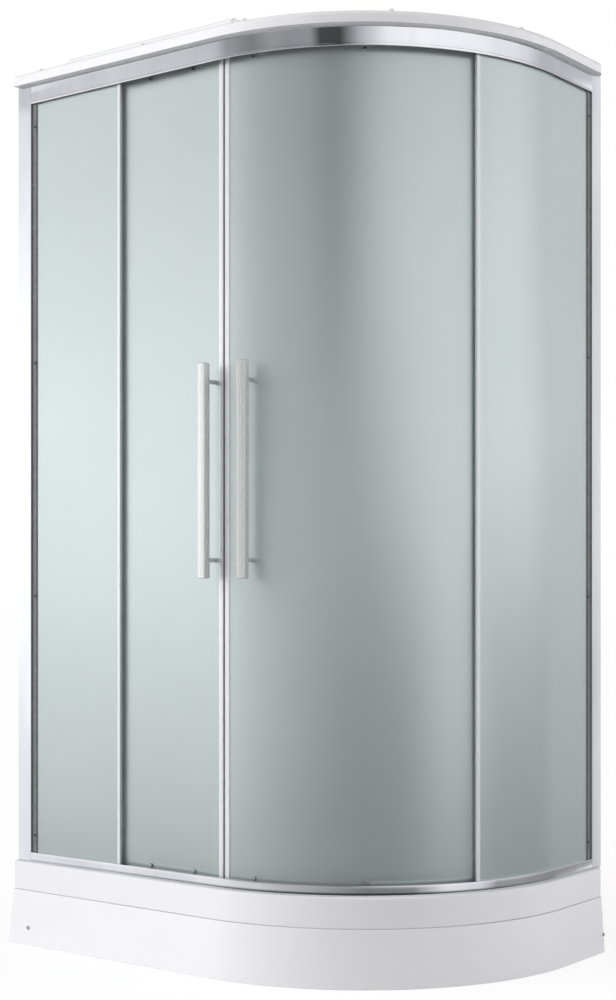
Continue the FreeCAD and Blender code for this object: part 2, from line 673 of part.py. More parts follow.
class RightDoor(Door):
    """The bent door."""

    def degrees(self, a):
        """Angle round the arc at a distance from the meeting line."""
        return MEETING_DEG + math.degrees(a / DOOR_RADIUS)

    def strip(self, s0, s1, a0, a1, z0, z1):
        return arc_band(s0, s1, self.degrees(a0), self.degrees(a1), z0, z1)

    def seat(self, shape, a):
        return seat_on_arc(shape, self.degrees(a))


def arc_length(degrees):
    """Distance from the meeting line to an angle, along the right door."""
    return math.radians(degrees - MEETING_DEG) * DOOR_RADIUS


LEFT = LeftDoor("left_door", {"lead": 88.0, "trail": 218.0}, 26.4,
                MEETING_X - LEFT_PANE_EDGE_X + DOOR_OVERLAP)
RIGHT = RightDoor("right_door", {"lead": arc_length(10.0), "trail": arc_length(37.0)},
                  arc_length(9.2), arc_length(RIGHT_PANE_EDGE_DEG) + DOOR_OVERLAP)
DOOR_IN = DOOR_S + GLASS
UPPER_BOLT_Z = UPPER_RAIL_BOTTOM - 2
LOWER_BOLT_Z = LOWER_AXLE_Z
BOLT_RADIUS = 3.0
FIN_S = 15.6                    # front of the door's trailing seal
SEAL_SHORT = 2.0                # seal's end below the top of the glass
MAGNET_SKIN = 1.5
MEETING_GAP = 0.6               # between the two magnetic seals when shut


def fixing_holes(door):
    """The bores through a door's glass, as one tool."""
    holes = []
    for a in door.rollers.values():
        for z in (UPPER_BOLT_Z, LOWER_BOLT_Z):
            holes.append(door.seat(pin(BOLT_RADIUS, DOOR_S - CUT, DOOR_IN + CUT, z), a))
    for z in post_heights():
        holes.append(door.seat(pin(BOLT_RADIUS, DOOR_S - CUT, DOOR_IN + CUT, z), door.handle))
    return holes


def post_heights():
    """Heights of a handle's two posts."""
    return (HANDLE_MIDDLE - HANDLE_PITCH / 2, HANDLE_MIDDLE + HANDLE_PITCH / 2)


def door_glass(door):
    """The pane with its bores."""
    pane = door.strip(DOOR_S, DOOR_IN, MAGNET, door.far, DOOR_BOTTOM, DOOR_TOP)
    return pane.cut(fixing_holes(door))


def door_magnet_seal(door):
    """Clear strip with a magnet in its nose, clipped over the leading edge."""
    z0, z1 = DOOR_BOTTOM, DOOR_TOP - SEAL_SHORT
    s0, s1 = DOOR_S - MAGNET_SKIN, DOOR_IN + MAGNET_SKIN
    seal = door.strip(s0, s1, MEETING_GAP / 2, MAGNET + SEAL_LAP, z0, z1)
    return seal.cut(door.strip(DOOR_S, DOOR_IN, MAGNET, MAGNET + SEAL_LAP, z0, z1))


def door_fin_seal(door):
    """Clear strip with a forward fin, clipped over the trailing edge."""
    z0, z1 = DOOR_BOTTOM, DOOR_TOP - SEAL_SHORT
    clip = door.strip(DOOR_S - SEAL_SKIN, DOOR_IN + SEAL_SKIN,
                      door.far - SEAL_LAP, door.far + SEAL_SKIN, z0, z1)
    clip = clip.cut(door.strip(DOOR_S, DOOR_IN, door.far - SEAL_LAP, door.far, z0, z1))
    fin = door.strip(FIN_S, DOOR_S - SEAL_SKIN, door.far - 1.5, door.far + SEAL_SKIN, z0, z1)
    return joined([clip, fin])


BOLT_BITE = 10.0                # handle bolt's depth in the bar


def handle_bar(door):
    """Square bar handle."""
    half = HANDLE_LENGTH / 2
    back = DOOR_S - HANDLE_GAP
    bar = box(-HANDLE_WIDTH / 2, HANDLE_WIDTH / 2, back - HANDLE_DEPTH, back,
              HANDLE_MIDDLE - half, HANDLE_MIDDLE + half)
    bar = bar.makeFillet(1.2, bar.Edges)
    for z in post_heights():
        bar = bar.cut(pin(BOLT_RADIUS, back - BOLT_BITE, back + CUT, z))
    return door.seat(bar, door.handle)


def handle_posts(door):
    """Round standoffs between the bar and the glass, bored for their bolts."""
    back = DOOR_S - HANDLE_GAP
    length = HANDLE_GAP - POST_PLAY
    posts = [door.seat(tube(POST_RADIUS, BOLT_RADIUS, (0, back, z), (0, 1, 0), length), door.handle)
             for z in post_heights()]
    return Part.makeCompound(posts)


def handle_bolts(door):
    """Bolts from inside the cabin through glass and post into the bar, with their heads."""
    back = DOOR_S - HANDLE_GAP
    bolts = []
    for z in post_heights():
        shank = pin(BOLT_RADIUS, back - BOLT_BITE, DOOR_IN + 2, z)
        head = pin(8, DOOR_IN + 0.1, DOOR_IN + 4.1, z)
        bolts.append(door.seat(shank.fuse(head), door.handle))
    return Part.makeCompound(bolts)


PLATE_S0, PLATE_S1 = DOOR_IN + 0.3, DOOR_IN + 4.5
PLATE_HALF = 14.0
WHEEL_GAP = 0.4
AXLE_RADIUS = 2.5
AXLE_FIT = 0.05
BOSS_RADIUS = 4.0               # spacer on an axle, before its wheel
CLIP_RADIUS, CLIP = 4.0, 1.2    # retaining disc on an axle's end
CAP_RADIUS = 6.5                # cap of a roller bolt, outside the glass
CAP_OUT = 4.2
UPPER_WHEEL_WIDTH = 7.0
LOWER_WHEEL_WIDTH = 6.0
GROOVE = 2.3                    # width of the groove round a wheel


def stub_axle(start, track, width, z):
    """Axle from a carrier's face through a wheel, with its spacer boss and retaining disc."""
    near = track - width / 2 - WHEEL_GAP
    far = track + width / 2 + WHEEL_GAP
    return [pin(BOSS_RADIUS, start, near, z), pin(AXLE_RADIUS, start, far + 0.1, z),
            pin(CLIP_RADIUS, far, far + CLIP, z)]


def door_hangers(door):
    """Upper roller plates, each with the stub axle of its wheel."""
    low, high = UPPER_BOLT_Z - 13, UPPER_AXLE_Z + 12
    hangers = []
    for a in door.rollers.values():
        plate = box(-PLATE_HALF, PLATE_HALF, PLATE_S0, PLATE_S1, low, high)
        plate = plate.cut(pin(BOLT_RADIUS, PLATE_S0 - CUT, PLATE_S1 + CUT, UPPER_BOLT_Z))
        axle = stub_axle(PLATE_S1 - 0.5, UPPER_TRACK_S, UPPER_WHEEL_WIDTH, UPPER_AXLE_Z)
        hangers.append(door.seat(joined([plate] + axle), a))
    return Part.makeCompound(hangers)


def roller_bolts(door):
    """Capped bolts that clamp the hangers and the lower housings to the glass."""
    bolts = []
    for a in door.rollers.values():
        for z in (UPPER_BOLT_Z, LOWER_BOLT_Z):
            cap = pin(CAP_RADIUS, DOOR_S - CAP_OUT, DOOR_S - 0.1, z)
            shank = pin(BOLT_RADIUS, DOOR_S - 2, PLATE_S1 - 1, z)
            bolts.append(door.seat(cap.fuse(shank), a))
    return Part.makeCompound(bolts)


BRIDGE = 4.0
CHEEK = 3.0
SPRING_HEIGHT = 12.0            # the slider's travel is a little under half of this
SLIDER_S0, SLIDER_S1 = PLATE_S1 + 0.2, PLATE_S1 + 4.0
SLIDER_HALF = 10.7
SLIDER_TOP = LOWER_AXLE_Z + 14
HOUSING_TOP = SLIDER_TOP + SPRING_HEIGHT + BRIDGE
CHEEK_S1 = SLIDER_S1 + 0.5
TAB_HALF, TAB = 6.5, 3.0        # the tab that a finger lifts
SPRING_RADIUS, SPRING_WIRE = 3.0, 0.8
SPRING_S = SLIDER_S0 + SPRING_RADIUS + 0.4


def lower_housings(door):
    """Lower roller housings: back plate, two cheeks and the bridge over the spring."""
    low = LOWER_AXLE_Z - 11
    housings = []
    for a in door.rollers.values():
        plate = box(-PLATE_HALF, PLATE_HALF, PLATE_S0, PLATE_S1, low, HOUSING_TOP)
        plate = plate.cut(pin(BOLT_RADIUS, PLATE_S0 - CUT, PLATE_S1 + CUT, LOWER_BOLT_Z))
        cheeks = [box(-PLATE_HALF, -PLATE_HALF + CHEEK, PLATE_S1, CHEEK_S1, low + CHEEK, HOUSING_TOP),
                  box(PLATE_HALF - CHEEK, PLATE_HALF, PLATE_S1, CHEEK_S1, low + CHEEK, HOUSING_TOP)]
        bridge = box(-PLATE_HALF, PLATE_HALF, PLATE_S1, SPRING_S + SPRING_RADIUS + 1,
                     HOUSING_TOP - BRIDGE, HOUSING_TOP)
        housings.append(door.seat(joined([plate, bridge] + cheeks), a))
    return Part.makeCompound(housings)


def release_slider(door, a):
    """Sprung slider that carries a lower wheel; lifted by its tab to unhook the door."""
    body = box(-SLIDER_HALF, SLIDER_HALF, SLIDER_S0, SLIDER_S1, LOWER_AXLE_Z - 8, SLIDER_TOP)
    tab = box(-TAB_HALF, TAB_HALF, SLIDER_S1 - 0.5, RAIL_DEPTH, SLIDER_TOP - TAB, SLIDER_TOP)
    axle = stub_axle(SLIDER_S1 - 0.5, LOWER_TRACK_S, LOWER_WHEEL_WIDTH, LOWER_AXLE_Z)
    return door.seat(joined([body, tab] + axle), a)


def release_spring(door, a):
    """Room taken by the small compression spring between slider and bridge."""
    sleeve = tube(SPRING_RADIUS, SPRING_RADIUS - SPRING_WIRE, (0, SPRING_S, SLIDER_TOP), UP, SPRING_HEIGHT)
    return door.seat(sleeve, a)


def grooved_wheel(radius, tread, width, s, z):
    """Wheel with a groove round its middle that rides on a rail's rib."""
    half, slot = width / 2, GROOVE / 2
    wheel = pin(radius, s - half, s + half, z)
    groove = pin(radius + CUT, s - slot, s + slot, z).cut(pin(tread, s - slot, s + slot, z))
    return wheel.cut(groove).cut(pin(AXLE_RADIUS + AXLE_FIT, s - half - CUT, s + half + CUT, z))


def upper_wheel(door, a):
    """Upper wheel, on the ledge of the upper rail."""
    return door.seat(grooved_wheel(UPPER_WHEEL_RADIUS, UPPER_TREAD_RADIUS, UPPER_WHEEL_WIDTH,
                                   UPPER_TRACK_S, UPPER_AXLE_Z), a)


def lower_wheel(door, a):
    """Lower wheel, on the guide rib of the lower rail."""
    return door.seat(grooved_wheel(LOWER_WHEEL_RADIUS, LOWER_TREAD_RADIUS, LOWER_WHEEL_WIDTH,
                                   LOWER_TRACK_S, LOWER_AXLE_Z), a)


STOP_GAP = 1.5
STOP_LENGTH, STOP_HEIGHT = 9.0, 12.0


def door_stops():
    """Rubber blocks on the upper ledge that end each door's travel."""
    s0, s1 = UPPER_TRACK_S + TRACK_WIDTH / 2 + 0.2, RAIL_DEPTH - RAIL_WALL
    reach = UPPER_WHEEL_RADIUS + STOP_GAP
    block = box(-STOP_LENGTH / 2, STOP_LENGTH / 2, s0, s1, UPPER_LEDGE, UPPER_LEDGE + STOP_HEIGHT)
    middle = reach + STOP_LENGTH / 2
    left_open = MEETING_X - LEFT.rollers["trail"] - LEFT_TRAVEL - middle
    left_shut = MEETING_X - LEFT.rollers["lead"] + middle
    track = RAIL_RADIUS - UPPER_TRACK_S
    turn = math.degrees(middle / track)
    right_open = RIGHT.degrees(RIGHT.rollers["trail"]) + RIGHT_TRAVEL_DEG + turn
    right_shut = RIGHT.degrees(RIGHT.rollers["lead"]) - turn
    return Part.makeCompound([
        seat_on_front(block, left_open), seat_on_front(block, left_shut),
        seat_on_arc(block, right_open), seat_on_arc(block, right_shut)])


# ---------------------------------------------------------------- walls and roof
POST = 40.0
PANEL_IN_PROFILE = 18.0         # wall panel behind its wall profile


def side_wall_panel():
    """Panel on the left wall, from the left wall profile to the corner post."""
    x0 = X_LEFT + PANEL_IN
    return box(x0, x0 + PANEL, Y_FRONT + PROFILE_DEPTH - PANEL_IN_PROFILE, Y_BACK - POST / 2,
               TRAY_TOP, UPPER_RAIL_TOP)


POST_WEB = 24.0                 # web of the corner post, in from the left wall


def rear_wall_panel():
    """Panel on the rear wall, from the corner post to the right wall profile."""
    y1 = Y_BACK - PANEL_IN
    x0 = X_LEFT + POST_WEB + RAIL_WALL + 1
    return box(x0, X_RIGHT - PROFILE_DEPTH + PANEL_IN_PROFILE, y1 - PANEL, y1, TRAY_TOP, UPPER_RAIL_TOP)


def rear_corner_post():
    """Hollow extrusion in the room's corner, slotted for the two panels, with a web across."""
    x0, x1, y0, y1 = X_LEFT, X_LEFT + POST, Y_BACK - POST, Y_BACK
    z0, z1, t = TRAY_TOP, UPPER_RAIL_TOP, RAIL_WALL
    ring = box(x0, x1, y0, y1, z0, z1).cut(box(x0 + t, x1 - t, y0 + t, y1 - t, z0, z1))
    near, far = PANEL_IN - PANEL_SLOT / 2, PANEL_IN + PANEL + PANEL_SLOT / 2
    ring = ring.cut(box(x0 + near, x0 + far, y0 - CUT, y0 + t + CUT, z0, z1))
    ring = ring.cut(box(x1 - t - CUT, x1 + CUT, y1 - far, y1 - near, z0, z1))
    web = box(x0 + POST_WEB, x0 + POST_WEB + t, y0 + t, y1 - t, z0, z1)
    return joined([ring, web])


ROOF_SKIN = 4.0
ROOF_SIDE = 9.0                 # skirt along the room's walls, standing on the wall panels
PLATEAU_FOOT = (-492.0, 48.0, -352.0, 330.0)
PLATEAU_TOP = (-462.0, 45.0, -330.0, 300.0)


def frustum(foot, top, z0, z1):
    """Block with sloping sides between two rectangles."""
    wires = []
    for (x0, x1, y0, y1), z in ((foot, z0), (top, z1)):
        wires.append(Part.makePolygon([V(x0, y0, z), V(x1, y0, z), V(x1, y1, z), V(x0, y1, z), V(x0, y0, z)]))
    return Part.makeLoft(wires, True, True)


ROOF_LEDGE = 3.0                # closes the rim's underside out to the rail


def shrunk(rectangle, by):
    """Rectangle drawn in on every side."""
    x0, x1, y0, y1 = rectangle
    return x0 + by, x1 - by, y0 + by, y1 - by


def roof_panel():
    """Formed roof: rim closed below, support rib on the rail, top skin and the raised middle."""
    low, top, t = UPPER_RAIL_TOP, ROOF_RIM_TOP, ROOF_SKIN
    shell = plan_prism(ROOF_OUT, 0, low, top)
    shell = shell.makeFillet(7.0, open_top_edges(shell, top))
    plateau = frustum(PLATEAU_FOOT, PLATEAU_TOP, top - 1, ROOF_TOP)
    shell = shell.fuse(plateau)
    hollow = plan_prism(ROOF_OUT - t, ROOF_SIDE, low, top - t)
    hollow = hollow.cut(band(-1, 4, low, top - t, X_LEFT, Y_BACK))
    hollow = hollow.cut(band(-ROOF_OUT, 4, low, low + ROOF_LEDGE, X_LEFT, Y_BACK))
    shell = shell.cut(hollow)
    inner = frustum(shrunk(PLATEAU_FOOT, t), shrunk(PLATEAU_TOP, t), top - t - 1, ROOF_TOP - t)
    shell = shell.cut(inner).removeSplitter()
    return shell.cut(roof_screws().Solids)


ROOF_SCREW_S = 9.5
ROOF_SCREW_RADIUS = 2.0
ROOF_SCREW_BITE = 4.0           # its depth below the rail's top
ROOF_CAP_RADIUS, ROOF_CAP = 6.0, 8.0    # tall cap on each roof screw
ROOF_SCREW_PLACES = (("front", -530.0), ("front", -200.0), ("arc", 8.0), ("arc", 43.0), ("arc", 77.5))


def roof_screws():
    """Capped screws through the roof's skin down into the upper rail's top web."""
    foot = UPPER_RAIL_TOP - ROOF_SCREW_BITE
    head = rod(ROOF_CAP_RADIUS, (0, ROOF_SCREW_S, ROOF_RIM_TOP), UP, ROOF_CAP)
    shank = rod(ROOF_SCREW_RADIUS, (0, ROOF_SCREW_S, foot), UP, ROOF_RIM_TOP + 2 - foot)
    screw = head.fuse(shank)
    return Part.makeCompound([
        seat_on_front(screw, place) if where == "front" else seat_on_arc(screw, place)
        for where, place in ROOF_SCREW_PLACES])


# ---------------------------------------------------------------- every node
FIXED_NODES = {
    "tray_basin": tray_basin,
    "tray_apron": tray_apron,
    "tray_frame": tray_frame,
    "levelling_studs": levelling_studs,
    "levelling_pads": levelling_pads,
    "apron_screws": apron_screws,
    "apron_brackets": apron_brackets,
    "waste_body": waste_body,
    "waste_flange": waste_flange,
    "waste_gasket": waste_gasket,
    "waste_cover": waste_cover,
    "lower_rail": lower_rail,
    "upper_rail": upper_rail,
    "left_wall_profile": lambda: wall_profile("left"),
    "right_wall_profile": lambda: wall_profile("right"),
    "left_fixed_glass": left_fixed_glass,
    "right_fixed_glass": right_fixed_glass,
    "wall_glass_gaskets": wall_glass_gaskets,
    "fixed_glass_edge_seals": fixed_glass_edge_seals,
    "profile_screws": profile_screws,
    "door_stops": door_stops,
    "side_wall_panel": side_wall_panel,
    "rear_wall_panel": rear_wall_panel,
    "rear_corner_post": rear_corner_post,
    "roof_panel": roof_panel,
    "roof_screws": roof_screws,
}
DOOR_NODES = {
    "glass": door_glass,
    "magnet_seal": door_magnet_seal,
    "fin_seal": door_fin_seal,
    "handle_bar": handle_bar,
    "handle_posts": handle_posts,
    "handle_bolts": handle_bolts,
    "hangers": door_hangers,
    "roller_bolts": roller_bolts,
    "lower_housings": lower_housings,
}
ROLLER_NODES = {
    "upper_wheel": upper_wheel,
    "lower_wheel": lower_wheel,
    "release_slider": release_slider,
    "release_spring": release_spring,
}


def all_nodes():
    """Each node's name and shape."""
    for name, make in FIXED_NODES.items():
        yield name, make()
    for door in (LEFT, RIGHT):
        for name, make in DOOR_NODES.items():
            yield f"{door.name}_{name}", make(door)
        for place, a in door.rollers.items():
            for name, make in ROLLER_NODES.items():
                yield f"{door.name}_{place}_{name}", make(door, a)


def main():
    """Writes every node as its own STEP file."""
    os.makedirs("parts", exist_ok=True)
    for name, shape in all_nodes():
        solids = len(shape.Solids)
        if not shape.isValid() or not solids:
            print("check the shape of", name, solids)
        shape.exportStep(os.path.join("parts", name + ".step"))
        print(f"{name}: {solids} solids, {shape.Volume / 1000:.1f} cm3")


main()
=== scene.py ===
"""Looks of an offset quadrant shower cabin, dressed over its construction model.

The frame is that of the construction model: +X along the long front, +Y to the wall behind, +Z up.
Meshes and softening widths are in metres. The outlines of sections are in millimetres, and so are
the sizes that shape them, as each class says. A distance called s is measured inward from the outer
face of the bent rails, and one called a along a door from the line where the two doors meet.
"""

import json
import logging
import math
from dataclasses import dataclass
from enum import Enum

import bmesh
import bpy
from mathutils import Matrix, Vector


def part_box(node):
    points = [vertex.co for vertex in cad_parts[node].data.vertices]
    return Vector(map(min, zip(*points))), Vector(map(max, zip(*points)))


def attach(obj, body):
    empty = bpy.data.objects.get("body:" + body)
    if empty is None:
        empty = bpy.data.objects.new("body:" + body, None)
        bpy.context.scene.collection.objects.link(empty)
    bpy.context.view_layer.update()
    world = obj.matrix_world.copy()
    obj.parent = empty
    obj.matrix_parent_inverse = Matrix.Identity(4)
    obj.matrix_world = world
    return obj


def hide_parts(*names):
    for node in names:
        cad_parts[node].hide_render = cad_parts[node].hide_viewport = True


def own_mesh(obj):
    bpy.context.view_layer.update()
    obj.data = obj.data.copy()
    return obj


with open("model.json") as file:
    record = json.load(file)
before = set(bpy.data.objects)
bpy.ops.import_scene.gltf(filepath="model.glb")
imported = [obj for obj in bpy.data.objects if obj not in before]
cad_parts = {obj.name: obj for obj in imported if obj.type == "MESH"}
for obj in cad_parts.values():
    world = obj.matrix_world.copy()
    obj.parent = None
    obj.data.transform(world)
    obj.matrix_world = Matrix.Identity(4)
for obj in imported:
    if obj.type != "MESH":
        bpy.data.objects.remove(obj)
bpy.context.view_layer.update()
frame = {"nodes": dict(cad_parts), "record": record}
log = logging.getLogger("cabin")

MM = 0.001
CABIN = "cabin"
DEPTH = 46.0                    # rails, front to back, in millimetres
WALL = 2.0                      # wall of every extrusion, in millimetres
ARRIS = 0.9                     # ground edges of the glass, in millimetres
SHARP = 0.001                   # radius of a corner that looks sharp, in metres
SOFT_FROM = 40.0                # edges that turn by more degrees than this are softened
Pair = tuple[float, float]
Triple = tuple[float, float, float]
Corner = Triple                 # two coordinates and the radius of the rounding
Colour = Triple
Paint = tuple[float, float, float, float]
Bounds = tuple[float, float, float, float]      # x from, x to, y from, y to
Socket = bpy.types.NodeSocket


# ---------------------------------------------------------------- plan and mesh helpers
@dataclass(frozen=True)
class Station:
    """A place along the cabin's front, with the direction inward from the rail face."""

    base: Vector
    inward: Vector

    def at(self, s: float, z: float) -> Vector:
        """Point at a distance inward and a height."""
        return Vector((self.base.x + self.inward.x * s, self.base.y + self.inward.y * s, z))


@dataclass(frozen=True)
class Plan:
    """The cabin from above: a straight front, a quarter round and a short straight return."""

    x_left: float
    x_right: float
    y_front: float
    y_back: float
    radius: float = 0.550
    corner: float = 0.020       # rounding of tray and roof at the rear wall, at the rail face
    corner_turn: float = 80.0   # degrees that it turns

    @property
    def centre(self) -> Pair:
        """Centre of the quarter round."""
        return self.x_right - self.radius, self.y_front + self.radius

    def front(self, x0: float, x1: float, steps: int = 1) -> list[Station]:
        """Stations along the straight front.

        Args:
            x0: where they start.
            x1: where they end.
            steps: number of intervals.

        Returns:
            The stations in order.
        """
        places = [x0 + (x1 - x0) * k / steps for k in range(steps + 1)]
        return [Station(Vector((x, self.y_front)), Vector((0, 1))) for x in places]

    def on_arc(self, degrees: float) -> Station:
        """One station round the quarter.

        Args:
            degrees: its angle, 0 facing -Y and 90 facing +X.

        Returns:
            The station.
        """
        a = math.radians(degrees)
        out = Vector((math.sin(a), -math.cos(a)))
        return Station(Vector(self.centre) + out * self.radius, -out)

    def arc(self, start: float, end: float, step: float = 1.25) -> list[Station]:
        """Stations round the quarter between two angles.

        Args:
            start: first angle in degrees.
            end: last angle in degrees.
            step: greatest interval in degrees.

        Returns:
            The stations in order.
        """
        count = max(1, math.ceil(abs(end - start) / step))
        return [self.on_arc(start + (end - start) * k / count) for k in range(count + 1)]

    def back(self, y0: float, y1: float) -> list[Station]:
        """Stations along the short return."""
        return [Station(Vector((self.x_right, y)), Vector((-1, 0))) for y in (y0, y1)]

    def whole(self, x0: float, y1: float) -> list[Station]:
        """Stations from the front right round to the return.

        Args:
            x0: place on the front where they start.
            y1: place on the return where they end.

        Returns:
            The stations in order.
        """
        cx, cy = self.centre
        straight = self.front(x0, cx, steps=6)
        return straight[:-1] + self.arc(0, 90) + self.back(cy, y1)[1:]

    def depth(self, point: Vector) -> float:
        """How deep a point lies.

        Args:
            point: any point of the cabin.

        Returns:
            Its distance in from the rail face.
        """
        heart = Vector(self.centre)
        if point.x < heart.x:
            return point.y - self.y_front
        if point.y > heart.y:
            return self.x_right - point.x
        return self.radius - (point.xy - heart).length

    def inward(self, point: Vector) -> Vector:
        """Way in from the rail face.

        Args:
            point: any point of the cabin.

        Returns:
            The level direction there.
        """
        heart = Vector(self.centre)
        if point.x < heart.x:
            return Vector((0, 1, 0))
        if point.y > heart.y:
            return Vector((-1, 0, 0))
        return (heart - point.xy).normalized().to_3d()

    def skirt(self) -> list[Station]:
        """Stations from the left wall right round to the end of the rounding at the rear wall.

        Their inward directions are slanted in the rounding, so that it ends on the wall at any
        distance from the rail face.

        Returns:
            The stations in order.
        """
        cx, cy = self.centre
        stations = self.front(self.x_left, cx, steps=6)[:-1] + self.arc(0, 90)
        reach = math.sin(math.radians(self.corner_turn))
        steps = 10
        for k in range(steps + 1):
            a = math.radians(self.corner_turn * k / steps)
            base = Vector((self.x_right - self.corner + self.corner * math.cos(a),
                           self.y_back - self.corner * reach + self.corner * math.sin(a)))
            stations.append(Station(base, Vector((-math.cos(a), reach - math.sin(a)))))
        return stations

    def loop(self, out: float, side: float, corner: float, z: float) -> list[Vector]:
        """Closed outline of the whole plan at a height.

        Args:
            out: distance beyond the rail face, negative inside it.
            side: distance in from the two walls.
            corner: radius of the plain corners.
            z: height.

        Returns:
            Points in order, always the same number.
        """
        x0, x1 = self.x_left + side, self.x_right + out
        y0, y1 = self.y_front - out, self.y_back - side
        cx, cy = self.centre
        sweep, turned = (self.corner_turn, self.corner + out) if out > 0 else (90, corner)
        turn_y = y1 - turned * math.sin(math.radians(sweep))
        turns = [((x0 + corner, y0 + corner), corner, 180, 270, 6),
                 ((cx, cy), self.radius + out, 270, 360, 72),
                 ((x1 - turned, turn_y), turned, 0, sweep, 10),
                 ((x0 + corner, y1 - corner), corner, 90, 180, 6)]
        points = []
        for (px, py), radius, start, end, steps in turns:
            for k in range(steps + 1):
                a = math.radians(start + (end - start) * k / steps)
                points.append(Vector((px + radius * math.cos(a), py + radius * math.sin(a), z)))
        return points


def rounded(outline: list[Corner], steps: int = 4) -> list[Pair]:
    """Outline with its corners rounded.

    Args:
        outline: corners as two coordinates and a radius, 0 for a sharp corner.
        steps: intervals in each rounded corner.

    Returns:
        The points of the rounded outline.
    """
    points: list[Pair] = []
    count = len(outline)
    for k, (x, y, radius) in enumerate(outline):
        here = Vector((x, y))
        before = Vector(outline[k - 1][:2]) - here
        after = Vector(outline[(k + 1) % count][:2]) - here
        if radius <= 0:
            points.append((x, y))
            continue
        half = before.angle(after) / 2
        reach = min(radius / math.tan(half), before.length * 0.49, after.length * 0.49)
        start, end = here + before.normalized() * reach, here + after.normalized() * reach
        for i in range(steps + 1):
            t = i / steps
            p = start * (1 - t) ** 2 + here * 2 * t * (1 - t) + end * t ** 2
            points.append((p.x, p.y))
    return points


def finish_mesh(name: str, work: bmesh.types.BMesh, angle: float = 32.0) -> bpy.types.Object:
    """Turns a working mesh into a smooth-shaded object.

    Args:
        name: the piece's name.
        work: the mesh, freed here.
        angle: edges sharper than this many degrees stay crisp.

    Returns:
        The linked object.
    """
    bmesh.ops.remove_doubles(work, verts=work.verts, dist=1e-6)
    bmesh.ops.recalc_face_normals(work, faces=work.faces)
    mesh = bpy.data.meshes.new(name)
    work.to_mesh(mesh)
    work.free()
    mesh.polygons.foreach_set("use_smooth", [True] * len(mesh.polygons))
    mesh.set_sharp_from_angle(angle=math.radians(angle))
    piece = bpy.data.objects.new(name, mesh)
    bpy.context.scene.collection.objects.link(piece)
    return piece


def bridge(work: bmesh.types.BMesh, rings: list[list[Vector]],
           cap: tuple[bool, bool] = (True, True)) -> list[list[bmesh.types.BMVert]]:
    """Skins a row of closed rings that have equal numbers of points.

    Args:
        work: mesh to add to.
        rings: the rings in order.
        cap: whether the first and the last ring are filled.

    Returns:
        The new vertices, ring by ring.
    """
    rows = [[work.verts.new(p) for p in ring] for ring in rings]
    count = len(rows[0])
    for low, high in zip(rows, rows[1:]):
        for i in range(count):
            j = (i + 1) % count
            work.faces.new((low[i], low[j], high[j], high[i]))
    for wanted, row in zip(cap, (rows[0], rows[-1])):
        if wanted:
            work.faces.new(row)
    return rows


def swept(name: str, stations: list[Station], section: list[Corner]) -> bpy.types.Object:
    """Closed section drawn along stations.

    Args:
        name: the piece's name.
        stations: where the section passes.
        section: outline as (s, z, radius) in millimetres.

    Returns:
        The object.
    """
    outline = [(s * MM, z * MM) for s, z in rounded(section)]
    work = bmesh.new()
    bridge(work, [[station.at(s, z) for s, z in outline] for station in stations])
    return finish_mesh(name, work)


def upright(name: str, outlines: list[list[Vector]], z0: float, z1: float) -> bpy.types.Object:
    """Plan outlines raised between two heights.

    Args:
        name: the piece's name.
        outlines: closed outlines in plan.
        z0: lower end.
        z1: upper end.

    Returns:
        The object.
    """
    work = bmesh.new()
    for outline in outlines:
        bridge(work, [[Vector((p.x, p.y, z)) for p in outline] for z in (z0, z1)])
    return finish_mesh(name, work)


def quarter(radius: float, steps: int = 6) -> list[Pair]:
    """Rounded edge, as distances across and down from the corner that it softens.

    Args:
        radius: its radius.
        steps: number of intervals.

    Returns:
        The distances in order, from down the side to in on the top.
    """
    turns = [math.radians(90 / steps * k) for k in range(steps + 1)]
    return [(radius * (1 - math.cos(a)), radius * (1 - math.sin(a))) for a in turns]


def add_bevel(piece: bpy.types.Object, width: float) -> None:
    """Softens every crisp edge of a piece by a small bevel.

    Args:
        piece: the piece.
        width: of the bevel, in metres.
    """
    modifier = piece.modifiers.new("soft_edges", "BEVEL")
    modifier.width = width
    modifier.segments = 2
    modifier.limit_method = "ANGLE"
    modifier.angle_limit = math.radians(SOFT_FROM)
    modifier.harden_normals = True


def add_weighted_normals(piece: bpy.types.Object) -> None:
    """Keeps large faces flat-shaded beside narrow roundings."""
    modifier = piece.modifiers.new("flat_faces", "WEIGHTED_NORMAL")
    modifier.keep_sharp = True


def softened(node: str, width: float) -> bpy.types.Object:
    """Copy of a construction node with its edges softened.

    Args:
        node: the node's name.
        width: of the softening, in metres.

    Returns:
        The copy, named after the node.
    """
    work = bmesh.new()
    work.from_mesh(frame["nodes"][node].data)
    bmesh.ops.remove_doubles(work, verts=work.verts, dist=1e-5)
    bmesh.ops.dissolve_limit(work, angle_limit=math.radians(0.5), verts=work.verts, edges=work.edges)
    piece = finish_mesh(f"{node}_soft", work)
    add_bevel(piece, width)
    return piece


def islands(work: bmesh.types.BMesh) -> list[list[bmesh.types.BMVert]]:
    """Sorts the vertices of a mesh into the solids that they belong to.

    Args:
        work: the mesh.

    Returns:
        One group of vertices for each solid.
    """
    groups, seen = [], set()
    for start in work.verts:
        if start in seen:
            continue
        seen.add(start)
        group, waiting = [], [start]
        while waiting:
            vert = waiting.pop()
            group.append(vert)
            for edge in vert.link_edges:
                other = edge.other_vert(vert)
                if other not in seen:
                    seen.add(other)
                    waiting.append(other)
        groups.append(group)
    return groups


